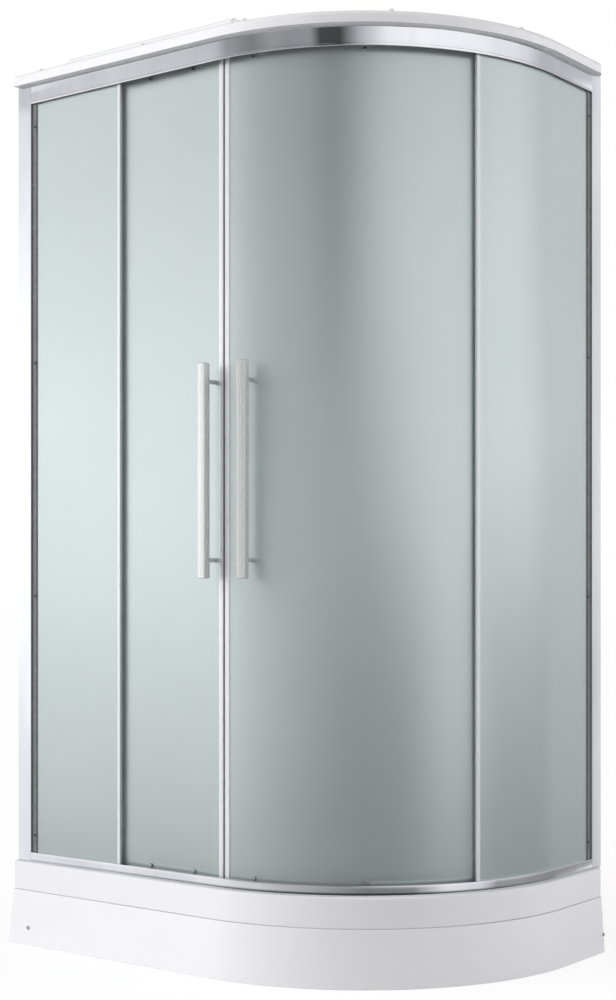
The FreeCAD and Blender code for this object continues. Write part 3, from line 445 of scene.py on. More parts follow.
# ---------------------------------------------------------------- finishes
class Graph:
    """Short way to write one material's nodes."""

    def __init__(self, name: str) -> None:
        """Starts an empty material.

        Args:
            name: its name.
        """
        self.material = bpy.data.materials.new(name)
        self.material.use_nodes = True
        self.tree = self.material.node_tree
        self.shader = self.tree.nodes["Principled BSDF"]

    def add(self, kind: str, **sockets: object) -> bpy.types.Node:
        """New node.

        Args:
            kind: its type.
            sockets: values for its named sockets, with underscores for spaces.

        Returns:
            The node.
        """
        node = self.tree.nodes.new(kind)
        for key, value in sockets.items():
            node.inputs[key.replace("_", " ")].default_value = value
        return node

    def link(self, start: Socket, end: Socket) -> None:
        """Joins two sockets."""
        self.tree.links.new(start, end)

    def noise(self, scale: float, detail: float, stretch: Triple = (1, 1, 1)) -> Socket:
        """Noise fixed to the object.

        Args:
            scale: how fine it is, in cycles a metre.
            detail: how many finer layers it has.
            stretch: factors on the three axes, where a low one draws the noise out.

        Returns:
            The socket that carries it.
        """
        mapping = self.add("ShaderNodeMapping", Scale=stretch)
        self.link(self.add("ShaderNodeTexCoord").outputs["Object"], mapping.inputs["Vector"])
        node = self.add("ShaderNodeTexNoise", Scale=scale, Detail=detail)
        self.link(mapping.outputs["Vector"], node.inputs["Vector"])
        return node.outputs["Fac"]

    def tint(self, source: Socket, low: Colour, high: Colour) -> None:
        """Colours the surface by a noise.

        Args:
            source: the noise.
            low: shade at its low end.
            high: shade at its high end.
        """
        ramp = self.add("ShaderNodeValToRGB")
        for stop, place, colour in zip(ramp.color_ramp.elements, (0.35, 0.65), (low, high)):
            stop.position = place
            stop.color = (*colour, 1)
        self.link(source, ramp.inputs["Fac"])
        self.link(ramp.outputs["Color"], self.shader.inputs["Base Color"])

    def gloss(self, source: Socket, span: Pair) -> None:
        """Varies the roughness by a noise.

        Args:
            source: the noise.
            span: roughness at its low and at its high end.
        """
        node = self.add("ShaderNodeMapRange", From_Min=0.3, From_Max=0.7, To_Min=span[0], To_Max=span[1])
        self.link(source, node.inputs["Value"])
        self.link(node.outputs["Result"], self.shader.inputs["Roughness"])

    def bump(self, source: Socket, strength: float, distance: float) -> None:
        """Raises the surface a little by a noise.

        Args:
            source: the noise.
            strength: share of the effect.
            distance: height in metres.
        """
        node = self.add("ShaderNodeBump", Strength=strength, Distance=distance)
        self.link(source, node.inputs["Height"])
        self.link(node.outputs["Normal"], self.shader.inputs["Normal"])

    def set(self, **sockets: object) -> None:
        """Values on the surface shader's own sockets."""
        for key, value in sockets.items():
            self.shader.inputs[key.replace("_", " ")].default_value = value


@dataclass(frozen=True)
class Acrylic:
    """White sanitary acrylic: glossy, with a faint unevenness from the mould."""

    low: Colour = (0.865, 0.86, 0.89)
    high: Colour = (0.88, 0.875, 0.905)
    gloss: Pair = (0.18, 0.22)
    swell: float = 0.0006       # height of the unevenness, in metres

    def make(self, name: str) -> bpy.types.Material:
        """Makes the material.

        Args:
            name: its name.

        Returns:
            The material.
        """
        graph = Graph(name)
        graph.tint(graph.noise(scale=3.0, detail=2.0), self.low, self.high)
        graph.gloss(graph.noise(scale=14.0, detail=4.0), self.gloss)
        graph.bump(graph.noise(scale=7.0, detail=1.0), strength=0.04, distance=self.swell)
        graph.set(IOR=1.49)
        return graph.material


@dataclass(frozen=True)
class BrightMetal:
    """Polished or chromed metal, very slightly wavy along its length."""

    low: Colour = (0.80, 0.80, 0.83)
    high: Colour = (0.90, 0.90, 0.92)
    gloss: Pair = (0.02, 0.045)
    wave: float = 0.01          # strength of the waviness
    swell: float = 0.002        # its height, in metres

    def make(self, name: str) -> bpy.types.Material:
        """Makes the material.

        Args:
            name: its name.

        Returns:
            The material.
        """
        graph = Graph(name)
        graph.tint(graph.noise(scale=9.0, detail=3.0, stretch=(1, 1, 0.3)), self.low, self.high)
        graph.gloss(graph.noise(scale=30.0, detail=4.0), self.gloss)
        ripple = graph.noise(scale=11.0, detail=1.0, stretch=(1, 1, 0.25))
        graph.bump(ripple, strength=self.wave, distance=self.swell)
        graph.set(Metallic=1.0)
        return graph.material


@dataclass(frozen=True)
class SatinMetal:
    """Metal brushed along its length."""

    low: Colour = (0.80, 0.81, 0.80)
    high: Colour = (0.825, 0.835, 0.825)
    gloss: Pair = (0.24, 0.28)
    lines: float = 1500.0       # brushed lines a metre
    draw: float = 0.02          # how far they are drawn out upward

    def make(self, name: str) -> bpy.types.Material:
        """Makes the material.

        Args:
            name: its name.

        Returns:
            The material.
        """
        graph = Graph(name)
        grain = graph.noise(scale=self.lines, detail=2.0, stretch=(1, 1, self.draw))
        graph.tint(grain, self.low, self.high)
        graph.gloss(grain, self.gloss)
        graph.set(Metallic=0.75)
        return graph.material


@dataclass(frozen=True)
class FrostedGlass:
    """Toughened glass with an etched face: pale green, lets light through but no picture."""

    low: Colour = (0.69, 0.755, 0.75)
    high: Colour = (0.72, 0.785, 0.78)
    gloss: Pair = (0.275, 0.305)
    silver: float = 0.58        # share that shines like satin metal
    clear: float = 0.2          # share of the rest that lets light through

    def make(self, name: str) -> bpy.types.Material:
        """Makes the material.

        Args:
            name: its name.

        Returns:
            The material.
        """
        graph = Graph(name)
        graph.tint(graph.noise(scale=2.2, detail=2.0), self.low, self.high)
        graph.gloss(graph.noise(scale=24.0, detail=3.0), self.gloss)
        graph.set(IOR=1.5, Metallic=self.silver, Transmission_Weight=self.clear)
        return graph.material


@dataclass(frozen=True)
class Moulded:
    """Moulded plastic or rubber with a fine skin."""

    low: Colour
    high: Colour
    gloss: Pair = (0.35, 0.5)
    clear: float = 0.0          # share that lets light through
    silver: float = 0.0         # share that shines like metal
    skin: float = 0.0002        # height of the fine skin, in metres

    def make(self, name: str) -> bpy.types.Material:
        """Makes the material.

        Args:
            name: its name.

        Returns:
            The material.
        """
        graph = Graph(name)
        graph.tint(graph.noise(scale=60.0, detail=3.0), self.low, self.high)
        graph.gloss(graph.noise(scale=160.0, detail=3.0), self.gloss)
        graph.bump(graph.noise(scale=500.0, detail=2.0), strength=0.06, distance=self.skin)
        graph.set(IOR=1.48, Transmission_Weight=self.clear, Metallic=self.silver)
        return graph.material


class Slot(Enum):
    """The record's material slots, each with its finish."""

    ACRYLIC = "acrylic"
    ROOF_ACRYLIC = "roof_acrylic"
    POLISHED = "polished_aluminium"
    GLASS = "frosted_glass"
    CLEAR = "clear_seal"
    GREY_RUBBER = "grey_rubber"
    BLACK_RUBBER = "black_rubber"
    SATIN = "satin_steel"
    ZINC = "zinc_steel"
    WIRE = "spring_steel"
    BLACK_PLASTIC = "black_plastic"
    WHITE_PLASTIC = "white_plastic"
    NYLON = "wheel_nylon"
    CAPS = "roller_caps"
    DARK_SCREWS = "dark_screws"
    SCREWS = "screw_caps"
    WASTE = "waste_chrome"
    PANEL = "wall_panel"
    WHITE_METAL = "white_aluminium"


FINISHES = {
    Slot.ACRYLIC: Acrylic(),
    # the roof's acrylic is painted lighter than the tray's: painted light that makes the roof look brightly
    # lit
    Slot.ROOF_ACRYLIC: Acrylic((0.93, 0.925, 0.94), (0.95, 0.945, 0.955), (0.16, 0.20)),
    Slot.POLISHED: BrightMetal(),
    Slot.GLASS: FrostedGlass(),
    Slot.CLEAR: Moulded((0.88, 0.91, 0.93), (0.92, 0.94, 0.96), (0.16, 0.24), clear=0.15, silver=0.3),
    Slot.GREY_RUBBER: Moulded((0.15, 0.165, 0.165), (0.19, 0.205, 0.205)),
    Slot.BLACK_RUBBER: Moulded((0.012, 0.012, 0.012), (0.03, 0.03, 0.03), (0.5, 0.65)),
    Slot.SATIN: SatinMetal(),
    Slot.ZINC: BrightMetal((0.45, 0.46, 0.48), (0.58, 0.59, 0.62), (0.3, 0.45), wave=0.05),
    Slot.WIRE: BrightMetal((0.5, 0.5, 0.5), (0.62, 0.62, 0.62), (0.2, 0.3), wave=0.0),
    Slot.BLACK_PLASTIC: Moulded((0.015, 0.015, 0.016), (0.035, 0.035, 0.036)),
    Slot.WHITE_PLASTIC: Moulded((0.78, 0.78, 0.78), (0.84, 0.84, 0.84)),
    Slot.NYLON: Moulded((0.70, 0.69, 0.66), (0.78, 0.77, 0.74)),
    Slot.CAPS: BrightMetal((0.46, 0.47, 0.48), (0.56, 0.57, 0.58), (0.12, 0.2), wave=0.0),
    Slot.DARK_SCREWS: BrightMetal((0.10, 0.10, 0.11), (0.18, 0.18, 0.19), (0.25, 0.35), wave=0.0),
    Slot.SCREWS: BrightMetal((0.42, 0.43, 0.45), (0.55, 0.56, 0.58), (0.12, 0.2), wave=0.0),
    Slot.WASTE: BrightMetal(wave=0.02),
    Slot.PANEL: Acrylic((0.82, 0.835, 0.845), (0.83, 0.845, 0.855), (0.19, 0.23)),
    Slot.WHITE_METAL: Moulded((0.80, 0.80, 0.80), (0.84, 0.84, 0.84), (0.28, 0.36)),
}


class Workshop:
    """Keeps the finishes and puts pieces in place on the construction model."""

    def __init__(self) -> None:
        """Makes every finish once."""
        self.made = {slot: finish.make(slot.value) for slot, finish in FINISHES.items()}

    def dress_nodes(self) -> None:
        """Gives every construction node the finish of its own slot."""
        slots = {part["node"]: part["material_slot"] for part in frame["record"]["subparts"]}
        for name, node in frame["nodes"].items():
            node.data.materials.clear()
            node.data.materials.append(self.made[Slot(slots[name])])

    def fit(self, piece: bpy.types.Object, body: str, slot: Slot, *nodes: str) -> None:
        """Finishes a piece and hangs it on a body.

        Args:
            piece: the new piece.
            body: the body it rides on.
            slot: its finish.
            nodes: the construction nodes that it stands for.
        """
        piece.data.materials.clear()
        piece.data.materials.append(self.made[slot])
        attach(piece, body)
        if nodes:
            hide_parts(*nodes)
        log.info("%s rides on %s", piece.name, body)

    def soften(self, node: str, body: str, slot: Slot, width: float) -> None:
        """Stands a softened copy in for a construction node."""
        self.fit(softened(node, width), body, slot, node)


def measured_plan() -> Plan:
    """Reads the cabin's plan off the construction model.

    Returns:
        The plan, in metres.
    """
    rail_low, rail_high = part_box("lower_rail")
    roof_low, roof_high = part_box("roof_panel")
    return Plan(roof_low.x, rail_high.x, rail_low.y, roof_high.y)


def heights(node: str) -> Pair:
    """Lowest and highest point of a node, in millimetres."""
    low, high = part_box(node)
    return low.z / MM, high.z / MM


def pane_section(node: str, faces: Pair) -> list[Corner]:
    """Upright section of a pane with ground edges.

    Args:
        node: the pane's construction node, which gives its height.
        faces: its outer and inner face, in millimetres in from the rail face.

    Returns:
        The outline for swept().
    """
    z0, z1 = heights(node)
    outer, inner = faces
    return [(outer, z0, ARRIS), (outer, z1, ARRIS), (inner, z1, ARRIS), (inner, z0, ARRIS)]


# ---------------------------------------------------------------- sub-assemblies
@dataclass
class Rails:
    """The two bent rails that join the wall profiles, in millimetres."""

    shop: Workshop
    plan: Plan
    edge: float = 1.4                   # softened outer corners
    recess: float = 0.5                 # shallow band along the upper fascia
    borders: Pair = (5.0, 4.0)          # plain borders under and over it, before 1 mm of slope
    groove: Pair = (4.5, 14.5)          # groove that holds the fixed glass
    lip: float = 1.5                    # its walls
    groove_depth: float = 16.0          # depth of the upper one
    groove_drop: float = 4.0            # inner wall of the lower one, under the fascia's top
    ledge: float = 9.0                  # ledge of the upper wheels, above the rail's foot
    ledge_front: float = 31.5
    wheel_rib: Pair = (35.25, 36.75)    # rib that the upper wheels run on
    guide_rib: Pair = (36.75, 38.25)    # rib that guides the lower wheels
    guide_top: float = 213.0
    kerb: float = 4.0                   # back wall of the lower rail, above its base

    def stations(self, node: str) -> list[Station]:
        """Stations over a rail's whole run."""
        low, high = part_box(node)
        return self.plan.whole(low.x, high.y)

    def upper(self) -> None:
        """Upper rail: fascia, web, glass groove, inner wall, wheel ledge and its rib."""
        z0, z1 = heights("upper_rail")
        web, ledge = z1 - WALL, z0 + self.ledge
        under, rib_top, deep = ledge - WALL, ledge + WALL, web - self.groove_depth
        back = DEPTH - WALL
        (a, b), (r0, r1) = self.groove, self.wheel_rib
        low, high = z0 + self.borders[0], z1 - self.borders[1]
        fascia = [(0, z0, self.edge), (0, low, 0.2), (self.recess, low + 1, 0.2),
                  (self.recess, high - 1, 0.2), (0, high, 0.2), (0, z1, self.edge)]
        inner_wall = [(DEPTH, z1, 0.5), (DEPTH, z0, 0.5), (back, z0, 0.4), (back, under, 0)]
        wheel_ledge = [(self.ledge_front, under, 0.4), (self.ledge_front, ledge, 0.4), (r0, ledge, 0),
                       (r0, rib_top, 0.3), (r1, rib_top, 0.3), (r1, ledge, 0), (back, ledge, 0),
                       (back, web, 0)]
        glass_groove = [(b, web, 0), (b, deep, 0.3), (b - self.lip, deep, 0.3), (b - self.lip, web, 0),
                        (a + self.lip, web, 0), (a + self.lip, deep, 0.3), (a, deep, 0.3), (a, web, 0)]
        section = fascia + inner_wall + wheel_ledge + glass_groove + [(WALL, web, 0), (WALL, z0, 0.5)]
        rail = swept("upper_rail_extrusion", self.stations("upper_rail"), section)
        self.shop.fit(rail, CABIN, Slot.POLISHED, "upper_rail")

    def lower(self) -> None:
        """Lower rail: fascia, base, glass groove, guide rib and kerb."""
        z0, z1 = heights("lower_rail")
        base, back, top, kerb_top = z0 + WALL, DEPTH - WALL, self.guide_top, z0 + WALL + self.kerb
        (a, b), (r0, r1) = self.groove, self.guide_rib
        inner = z1 - self.groove_drop
        glass_groove = [(a + self.lip, z1, self.edge), (a + self.lip, base, 0), (b - self.lip, base, 0),
                        (b - self.lip, inner, 0.3), (b, inner, 0.3), (b, base, 0)]
        rib = [(r0, base, 0), (r0, top, 0.3), (r1, top, 0.3), (r1, base, 0)]
        kerb = [(back, base, 0), (back, kerb_top, 0.4), (DEPTH, kerb_top, 0.4), (DEPTH, z0, 0.5)]
        section = [(0, z0, 0.6), (0, z1, self.edge)] + glass_groove + rib + kerb
        rail = swept("lower_rail_extrusion", self.stations("lower_rail"), section)
        self.shop.fit(rail, CABIN, Slot.POLISHED, "lower_rail")

    def build(self) -> None:
        """Builds both rails."""
        self.upper()
        self.lower()


@dataclass
class WallProfiles:
    """Upright profiles on the two walls, with their gaskets and clamp screws."""

    shop: Workshop
    profile_edge: float = 0.0007    # softened edges, in metres
    gasket_edge: float = 0.0006
    screw_edge: float = 0.0004

    def build(self) -> None:
        """Softens the profiles, gaskets and screws."""
        for side in ("left", "right"):
            self.shop.soften(f"{side}_wall_profile", CABIN, Slot.POLISHED, self.profile_edge)
        self.shop.soften("wall_glass_gaskets", CABIN, Slot.GREY_RUBBER, self.gasket_edge)
        self.shop.soften("profile_screws", CABIN, Slot.DARK_SCREWS, self.screw_edge)


@dataclass
class Panes:
    """The two fixed panes, with the clear strips on their free edges, in millimetres."""

    shop: Workshop
    plan: Plan
    faces: Pair = (7.0, 12.0)   # outer and inner face, in millimetres in from the rail face
    free_edge: float = 64.0     # free edge of the bent pane, in degrees
    skin: float = 1.2           # wall of the strips
    lap: float = 7.0            # how far they grip the glass
    turn_at: float = 0.020      # depth, in metres, at which their width is turned into degrees

    def flat(self) -> None:
        """The flat pane."""
        low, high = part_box("left_fixed_glass")
        run = self.plan.front(low.x, high.x)
        pane = swept("left_fixed_pane", run, pane_section("left_fixed_glass", self.faces))
        self.shop.fit(pane, CABIN, Slot.GLASS, "left_fixed_glass")

    def bent(self) -> None:
        """The bent pane, which ends in a short flat stretch at the wall."""
        wall_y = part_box("right_fixed_glass")[1].y
        run = self.plan.arc(self.free_edge, 90) + self.plan.back(self.plan.centre[1], wall_y)[1:]
        pane = swept("right_fixed_pane", run, pane_section("right_fixed_glass", self.faces))
        self.shop.fit(pane, CABIN, Slot.GLASS, "right_fixed_glass")

    def edge_strips(self) -> None:
        """Clear channels over the free edges of the fixed panes."""
        z0, z1 = heights("fixed_glass_edge_seals")
        s0, s1 = self.faces
        k, lap = self.skin, self.lap
        channel = [(-k, s0 - k, 0.8), (lap, s0 - k, 0.5), (lap, s0, 0), (0, s0, 0), (0, s1, 0), (lap, s1, 0),
                   (lap, s1 + k, 0.5), (-k, s1 + k, 0.8)]
        edge_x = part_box("left_fixed_glass")[1].x
        left = [self.plan.front(edge_x - a * MM, edge_x)[0].at(s * MM, 0) for a, s in rounded(channel)]
        turn = math.degrees(MM / (self.plan.radius - self.turn_at))
        right = [self.plan.on_arc(self.free_edge + a * turn).at(s * MM, 0) for a, s in rounded(channel)]
        strips = upright("fixed_pane_edge_strips", [left, right], z0 * MM, z1 * MM)
        self.shop.fit(strips, CABIN, Slot.CLEAR, "fixed_glass_edge_seals")

    def build(self) -> None:
        """Builds the fixed panes and their edge strips."""
        self.flat()
        self.bent()
        self.edge_strips()


@dataclass
class SlidingDoor:
    """One sliding door: glass, strips, handle and roller gear, in millimetres but for meeting_x."""

    shop: Workshop
    plan: Plan
    body: str
    meeting_x: float = 0.034    # where the doors meet, in metres
    faces: Pair = (20.0, 25.0)  # outer and inner face of the glass, in from the rail face
    lead: float = 7.7           # leading edge of the glass
    lap: float = 7.0            # how far the strips grip the glass
    core: float = 2.0           # back of the magnet
    leg: float = 1.5            # wall of the magnet strip
    skin: float = 1.2           # wall of the fin strip
    fin_tip: float = 15.6       # how near the fin comes to the rail face
    handle_a: float = 29.0
    handle_width: float = 20.0
    handle_depth: float = 18.0
    handle_gap: float = 28.0    # room for fingers
    bar_end: float = 0.8        # how far the plugs stand out of the bar
    plug: float = 2.5           # length of the plugs
    moulding_edge: float = 0.5  # softened edges
    bolt_edge: float = 0.6
    slider_edge: float = 0.4
    wheel_edge: float = 0.3
    cap_share: float = 0.65     # roller caps, against the plain solids
    clear_of_glass: float = 0.05    # what lies further out than this is a cap
    release_travel: float = 5.0
    wire: float = 0.4           # radius of the release springs' wire
    turns: int = 5

    def station(self, a: float) -> Station:
        """Station at a distance from the meeting line."""
        raise NotImplementedError

    def run(self, a0: float, a1: float) -> list[Station]:
        """Stations between two distances from the meeting line."""
        raise NotImplementedError

    def far(self) -> float:
        """Distance of the trailing edge from the meeting line."""
        raise NotImplementedError

    def glass(self) -> None:
        """The pane."""
        node = f"{self.body}_glass"
        pane = swept(f"{self.body}_pane", self.run(self.lead, self.far()), pane_section(node, self.faces))
        self.shop.fit(pane, self.body, Slot.GLASS, node)

    def strip(self, name: str, outline: list[Corner], slot: Slot, *nodes: str) -> None:
        """One strip as high as the magnet strip's construction node.

        Args:
            name: end of the piece's name.
            outline: its plan as (a, s, radius).
            slot: its finish.
            nodes: the construction node that it stands for, if any.
        """
        z0, z1 = heights(f"{self.body}_magnet_seal")
        points = [self.station(a).at(s * MM, 0) for a, s in rounded(outline)]
        piece = upright(f"{self.body}_{name}", [points], z0 * MM, z1 * MM)
        self.shop.fit(piece, self.body, slot, *nodes)

    def strips(self) -> None:
        """The magnet strip on the leading edge and the finned one on the trailing edge."""
        s0, s1 = self.faces
        core, lead, grip, leg = self.core, self.lead, self.lead + self.lap, self.leg
        ribbed = [(core, s0 - 1.3, 0), (3.4, s0 - leg, 0.2), (3.9, s0 - 0.7, 0.1), (4.4, s0 - leg, 0.2)]
        channel = [(grip, s0 - leg, 0.6), (grip, s0, 0), (lead, s0, 0), (lead, s1, 0), (grip, s1, 0),
                   (grip, s1 + leg, 0.6), (core, s1 + leg, 0)]
        self.strip("magnet_strip", ribbed + channel, Slot.CLEAR, f"{self.body}_magnet_seal")
        magnet = [(0.3, s0 - 1.0, 0.9), (core, s0 - 1.2, 0.2), (core, s1 + 1.4, 0.2), (0.3, s1 + 1.4, 0.9)]
        self.strip("magnet_core", magnet, Slot.BLACK_RUBBER)
        far, k, tip = self.far(), self.skin, self.fin_tip
        grip = far - self.lap
        fin = [(grip, s0 - k, 0.5), (far - 1.5, s0 - k, 0), (far - 1.0, tip, 0.3), (far + 0.2, tip, 0.3)]
        channel = [(far + k, s0 - k, 0.3), (far + k, s1 + k, 0.8), (grip, s1 + k, 0.5), (grip, s1, 0),
                   (far, s1, 0), (far, s0, 0), (grip, s0, 0)]
        self.strip("fin_strip", fin + channel, Slot.CLEAR, f"{self.body}_fin_seal")

    def bar_outline(self, inset: float, radius: float) -> list[Vector]:
        """Plan outline of the handle's square bar.

        Args:
            inset: how far it is drawn in.
            radius: of its corners.

        Returns:
            The points in order.
        """
        place = self.station(self.handle_a)
        along = Vector((place.inward.y, -place.inward.x))
        back = self.faces[0] - self.handle_gap - inset
        front = back - self.handle_depth + 2 * inset
        half = self.handle_width / 2 - inset
        corners = [(-half, front, radius), (half, front, radius), (half, back, radius), (-half, back, radius)]
        points = []
        for u, s in rounded(corners):
            p = place.at(s * MM, 0)
            points.append(Vector((p.x + along.x * u * MM, p.y + along.y * u * MM, 0)))
        return points

    def handle(self) -> None:
        """The square bar with a dark plug in each end, and its bolts."""
        node = f"{self.body}_handle_bar"
        z0, z1 = (z * MM for z in heights(node))
        plug, end = self.plug * MM, self.bar_end * MM
        bar = upright(f"{self.body}_handle", [self.bar_outline(inset=0, radius=1.2)], z0 + end, z1 - end)
        self.shop.fit(bar, self.body, Slot.SATIN, node)
        work = bmesh.new()
        outline = self.bar_outline(inset=1.6, radius=1.0)
        for low, high in ((z0, z0 + plug), (z1 - plug, z1)):
            bridge(work, [[Vector((p.x, p.y, z)) for p in outline] for z in (low, high)])
        plugs = finish_mesh(f"{self.body}_handle_plugs", work)
        self.shop.fit(plugs, self.body, Slot.BLACK_PLASTIC)
        self.shop.soften(f"{self.body}_handle_bolts", self.body, Slot.SATIN, self.bolt_edge * MM)

    def roller_gear(self) -> None:
        """Softened hangers, housings, bolts, wheels and sliders, and coiled release springs."""
        for part in ("hangers", "lower_housings"):
            self.shop.soften(f"{self.body}_{part}", self.body, Slot.WHITE_PLASTIC, self.moulding_edge * MM)
        self.roller_bolts()
        for place in ("lead", "trail"):
            stem = f"{self.body}_{place}"
            for wheel in ("upper_wheel", "lower_wheel"):
                self.shop.soften(f"{stem}_{wheel}", f"{stem}_{wheel}", Slot.NYLON, self.wheel_edge * MM)
            slider = f"{stem}_release_slider"
            self.shop.soften(slider, f"{stem}_release", Slot.WHITE_PLASTIC, self.slider_edge * MM)
            self.spring(stem)

    def roller_bolts(self) -> None:
        """Roller bolts, with the small domed caps that show outside the glass."""
        node = f"{self.body}_roller_bolts"
        piece = softened(node, self.bolt_edge * MM)
        work = bmesh.new()
        work.from_mesh(piece.data)
        for group in islands(work):
            low = Vector([min(vert.co[i] for vert in group) for i in range(3)])
            high = Vector([max(vert.co[i] for vert in group) for i in range(3)])
            heart = (low + high) / 2
            inward = self.plan.inward(heart)
            outside = (self.faces[0] - self.clear_of_glass) * MM
            for vert in group:
                if self.plan.depth(vert.co) < outside:
                    offset = vert.co - heart
                    along = inward * offset.dot(inward)
                    vert.co = heart + along + (offset - along) * self.cap_share
        work.to_mesh(piece.data)
        work.free()
        self.shop.fit(piece, self.body, Slot.CAPS, node)

    def spring(self, stem: str) -> None:
        """Coiled wire between a release slider and its bridge, built at its rest length.

        Args:
            stem: start of the names of that slider, spring and joint.
        """
        low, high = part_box(f"{stem}_release_spring")
        middle, radius = (low + high) / 2, (high.x - low.x) / 2
        wire, turns, steps, sides = self.wire * MM, self.turns, 20, 8
        rings = []
        for k in range(turns * steps + 1):
            a = 2 * math.pi * k / steps
            out = Vector((math.cos(a), math.sin(a), 0))
            z = low.z + wire + (high.z - low.z - 2 * wire) * k / (turns * steps)
            heart = Vector((middle.x, middle.y, z)) + out * (radius - wire)
            rings.append([heart + out * wire * math.cos(b) + Vector((0, 0, wire * math.sin(b)))
                          for b in (2 * math.pi * i / sides for i in range(sides))])
        work = bmesh.new()
        bridge(work, rings)
        coil = finish_mesh(f"{stem}_release_coil", work, angle=60)
        self.shop.fit(coil, self.body, Slot.WIRE, f"{stem}_release_spring")
        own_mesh(coil)

    def build(self) -> None:
        """Builds the whole door."""
        self.glass()
        self.strips()
        self.handle()
        self.roller_gear()


@dataclass
class FlatDoor(SlidingDoor):
    """The door on the straight front."""

    def station(self, a: float) -> Station:
        """Station at a distance from the meeting line."""
        return self.plan.front(self.meeting_x - a * MM, self.meeting_x)[0]

    def run(self, a0: float, a1: float) -> list[Station]:
        """Stations between two distances from the meeting line."""
        return [self.station(a0), self.station(a1)]

    def far(self) -> float:
        """Distance of the trailing edge from the meeting line."""
        return (self.meeting_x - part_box(f"{self.body}_glass")[0].x) / MM


@dataclass
class BentDoor(SlidingDoor):
    """The door round the quarter."""

    handle_a: float = 71.1
    trailing: float = 65.62     # trailing edge of the glass, in degrees

    @property
    def track(self) -> float:
        """Radius of the door's outer face, in metres."""
        return self.plan.radius - self.faces[0] * MM

    def degrees(self, a: float) -> float:
        """Angle round the quarter at a distance from the meeting line."""
        start = math.asin((self.meeting_x - self.plan.centre[0]) / self.track)
        return math.degrees(start + a * MM / self.track)

    def station(self, a: float) -> Station:
        """Station at a distance from the meeting line."""
        return self.plan.on_arc(self.degrees(a))

    def run(self, a0: float, a1: float) -> list[Station]:
        """Stations between two distances from the meeting line."""
        return self.plan.arc(self.degrees(a0), self.degrees(a1), step=1.0)

    def far(self) -> float:
        """Distance of the trailing edge from the meeting line."""
        return math.radians(self.trailing - self.degrees(0)) * self.track / MM


@dataclass
class Tray:
    """Basin, apron and what stands under them, in metres but for the apron's sizes."""

    shop: Workshop
    plan: Plan
    lip_out: float = 0.012          # rim beyond the rail face
    basin_in: float = 0.058         # basin's wall in from the rail face
    basin_side: float = 0.048       # and from the two walls
    basin_corner: float = 0.030
    floor: float = 0.150            # height of the basin's floor at the waste
    fall: float = 0.003             # rise of the floor to the basin's wall
    rim_round: float = 0.006
    floor_round: float = 0.014
    shell: float = 0.005            # thickness of the acrylic
    hole: float = 0.0442            # radius of the waste hole
    screw_edge: float = 0.0008      # softened edges of the apron's screws
    skirt_foot: float = -30.0       # apron's foot and top, in millimetres in from the rail face
    skirt_top: float = -15.0
    skirt_wall: float = 4.0         # its wall, in millimetres
    flange: float = 18.0            # its turned-in flanges, from the outer face, in millimetres

    def outside(self, inset: float, z: float) -> list[Vector]:
        """Outline of the rim, drawn in by an inset."""
        return self.plan.loop(self.lip_out - inset, 0, SHARP, z)

    def bowl(self, inset: float, z: float) -> list[Vector]:
        """Outline of the basin's wall, drawn in by an inset."""
        return self.plan.loop(-self.basin_in - inset, self.basin_side + inset, self.basin_corner, z)

    def waste_rim(self, around: list[Vector], z: float) -> list[Vector]:
        """Round hole for the waste.

        Args:
            around: outline round it, which sets how many points it has.
            z: its height.

        Returns:
            The points in the same order.
        """
        low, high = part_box("waste_gasket")
        heart = Vector((*((low + high) / 2).xy, z))
        return [heart + Vector((p.x - heart.x, p.y - heart.y, 0)).normalized() * self.hole for p in around]

    def basin(self) -> None:
        """The acrylic shell from its rim's foot to the waste hole and back on its underside."""
        low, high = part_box("tray_basin")
        foot, ledge, floor, t = low.z, high.z, self.floor, self.shell
        rings = [self.outside(0, foot)]
        rings += [self.outside(across, ledge - down) for across, down in quarter(self.rim_round)]
        rings += [self.bowl(-across, ledge - down) for down, across in quarter(self.rim_round)]
        rings += [self.bowl(across, floor + self.fall + up) for across, up in quarter(self.floor_round)]
        around = rings[-1]
        rings += [self.waste_rim(around, floor), self.waste_rim(around, floor - t)]
        rings += [self.bowl(-t, floor - t), self.bowl(-t, ledge - t)]
        rings += [self.plan.loop(self.lip_out - t, t, SHARP, z) for z in (ledge - t, foot)]
        work = bmesh.new()
        bridge(work, rings + rings[:1], cap=(False, False))
        piece = finish_mesh("tray_shell", work, angle=40)
        add_weighted_normals(piece)
        self.shop.fit(piece, CABIN, Slot.ACRYLIC, "tray_basin")

    def apron(self) -> None:
        """The skirt, leaning out to its foot, with a soft top edge and turned-in flanges."""
        z0, z1 = heights("tray_apron")
        foot, top, wall, flange = self.skirt_foot, self.skirt_top, self.skirt_wall, self.flange
        sole = z0 + 3
        section = [(foot, z0, 1.0), (top, z1, 3.0), (top + flange, z1, 1.0), (top + flange, z1 - wall, 0),
                   (top + wall, z1 - wall, 1.0), (foot + wall, sole, 1.0), (foot + flange, sole, 0),
                   (foot + flange, z0, 0)]
        skirt = swept("tray_skirt", self.plan.skirt(), section)
        add_weighted_normals(skirt)
        self.shop.fit(skirt, CABIN, Slot.ACRYLIC, "tray_apron")
        self.shop.soften("apron_screws", CABIN, Slot.SCREWS, self.screw_edge)

    def underneath(self) -> None:
        """Frame, feet and waste, softened."""
        for node, slot, width in (
            ("tray_frame", Slot.ZINC, 0.0015),
            ("levelling_pads", Slot.BLACK_PLASTIC, 0.0015),
            ("apron_brackets", Slot.ZINC, 0.0006),
            ("waste_body", Slot.WHITE_PLASTIC, 0.001),
            ("waste_flange", Slot.WASTE, 0.0006),
        ):
            self.shop.soften(node, CABIN, slot, width)
        self.shop.soften("waste_cover", "waste_cover", Slot.WASTE, 0.0005)

    def build(self) -> None:
        """Builds the tray."""
        self.basin()
        self.apron()
        self.underneath()


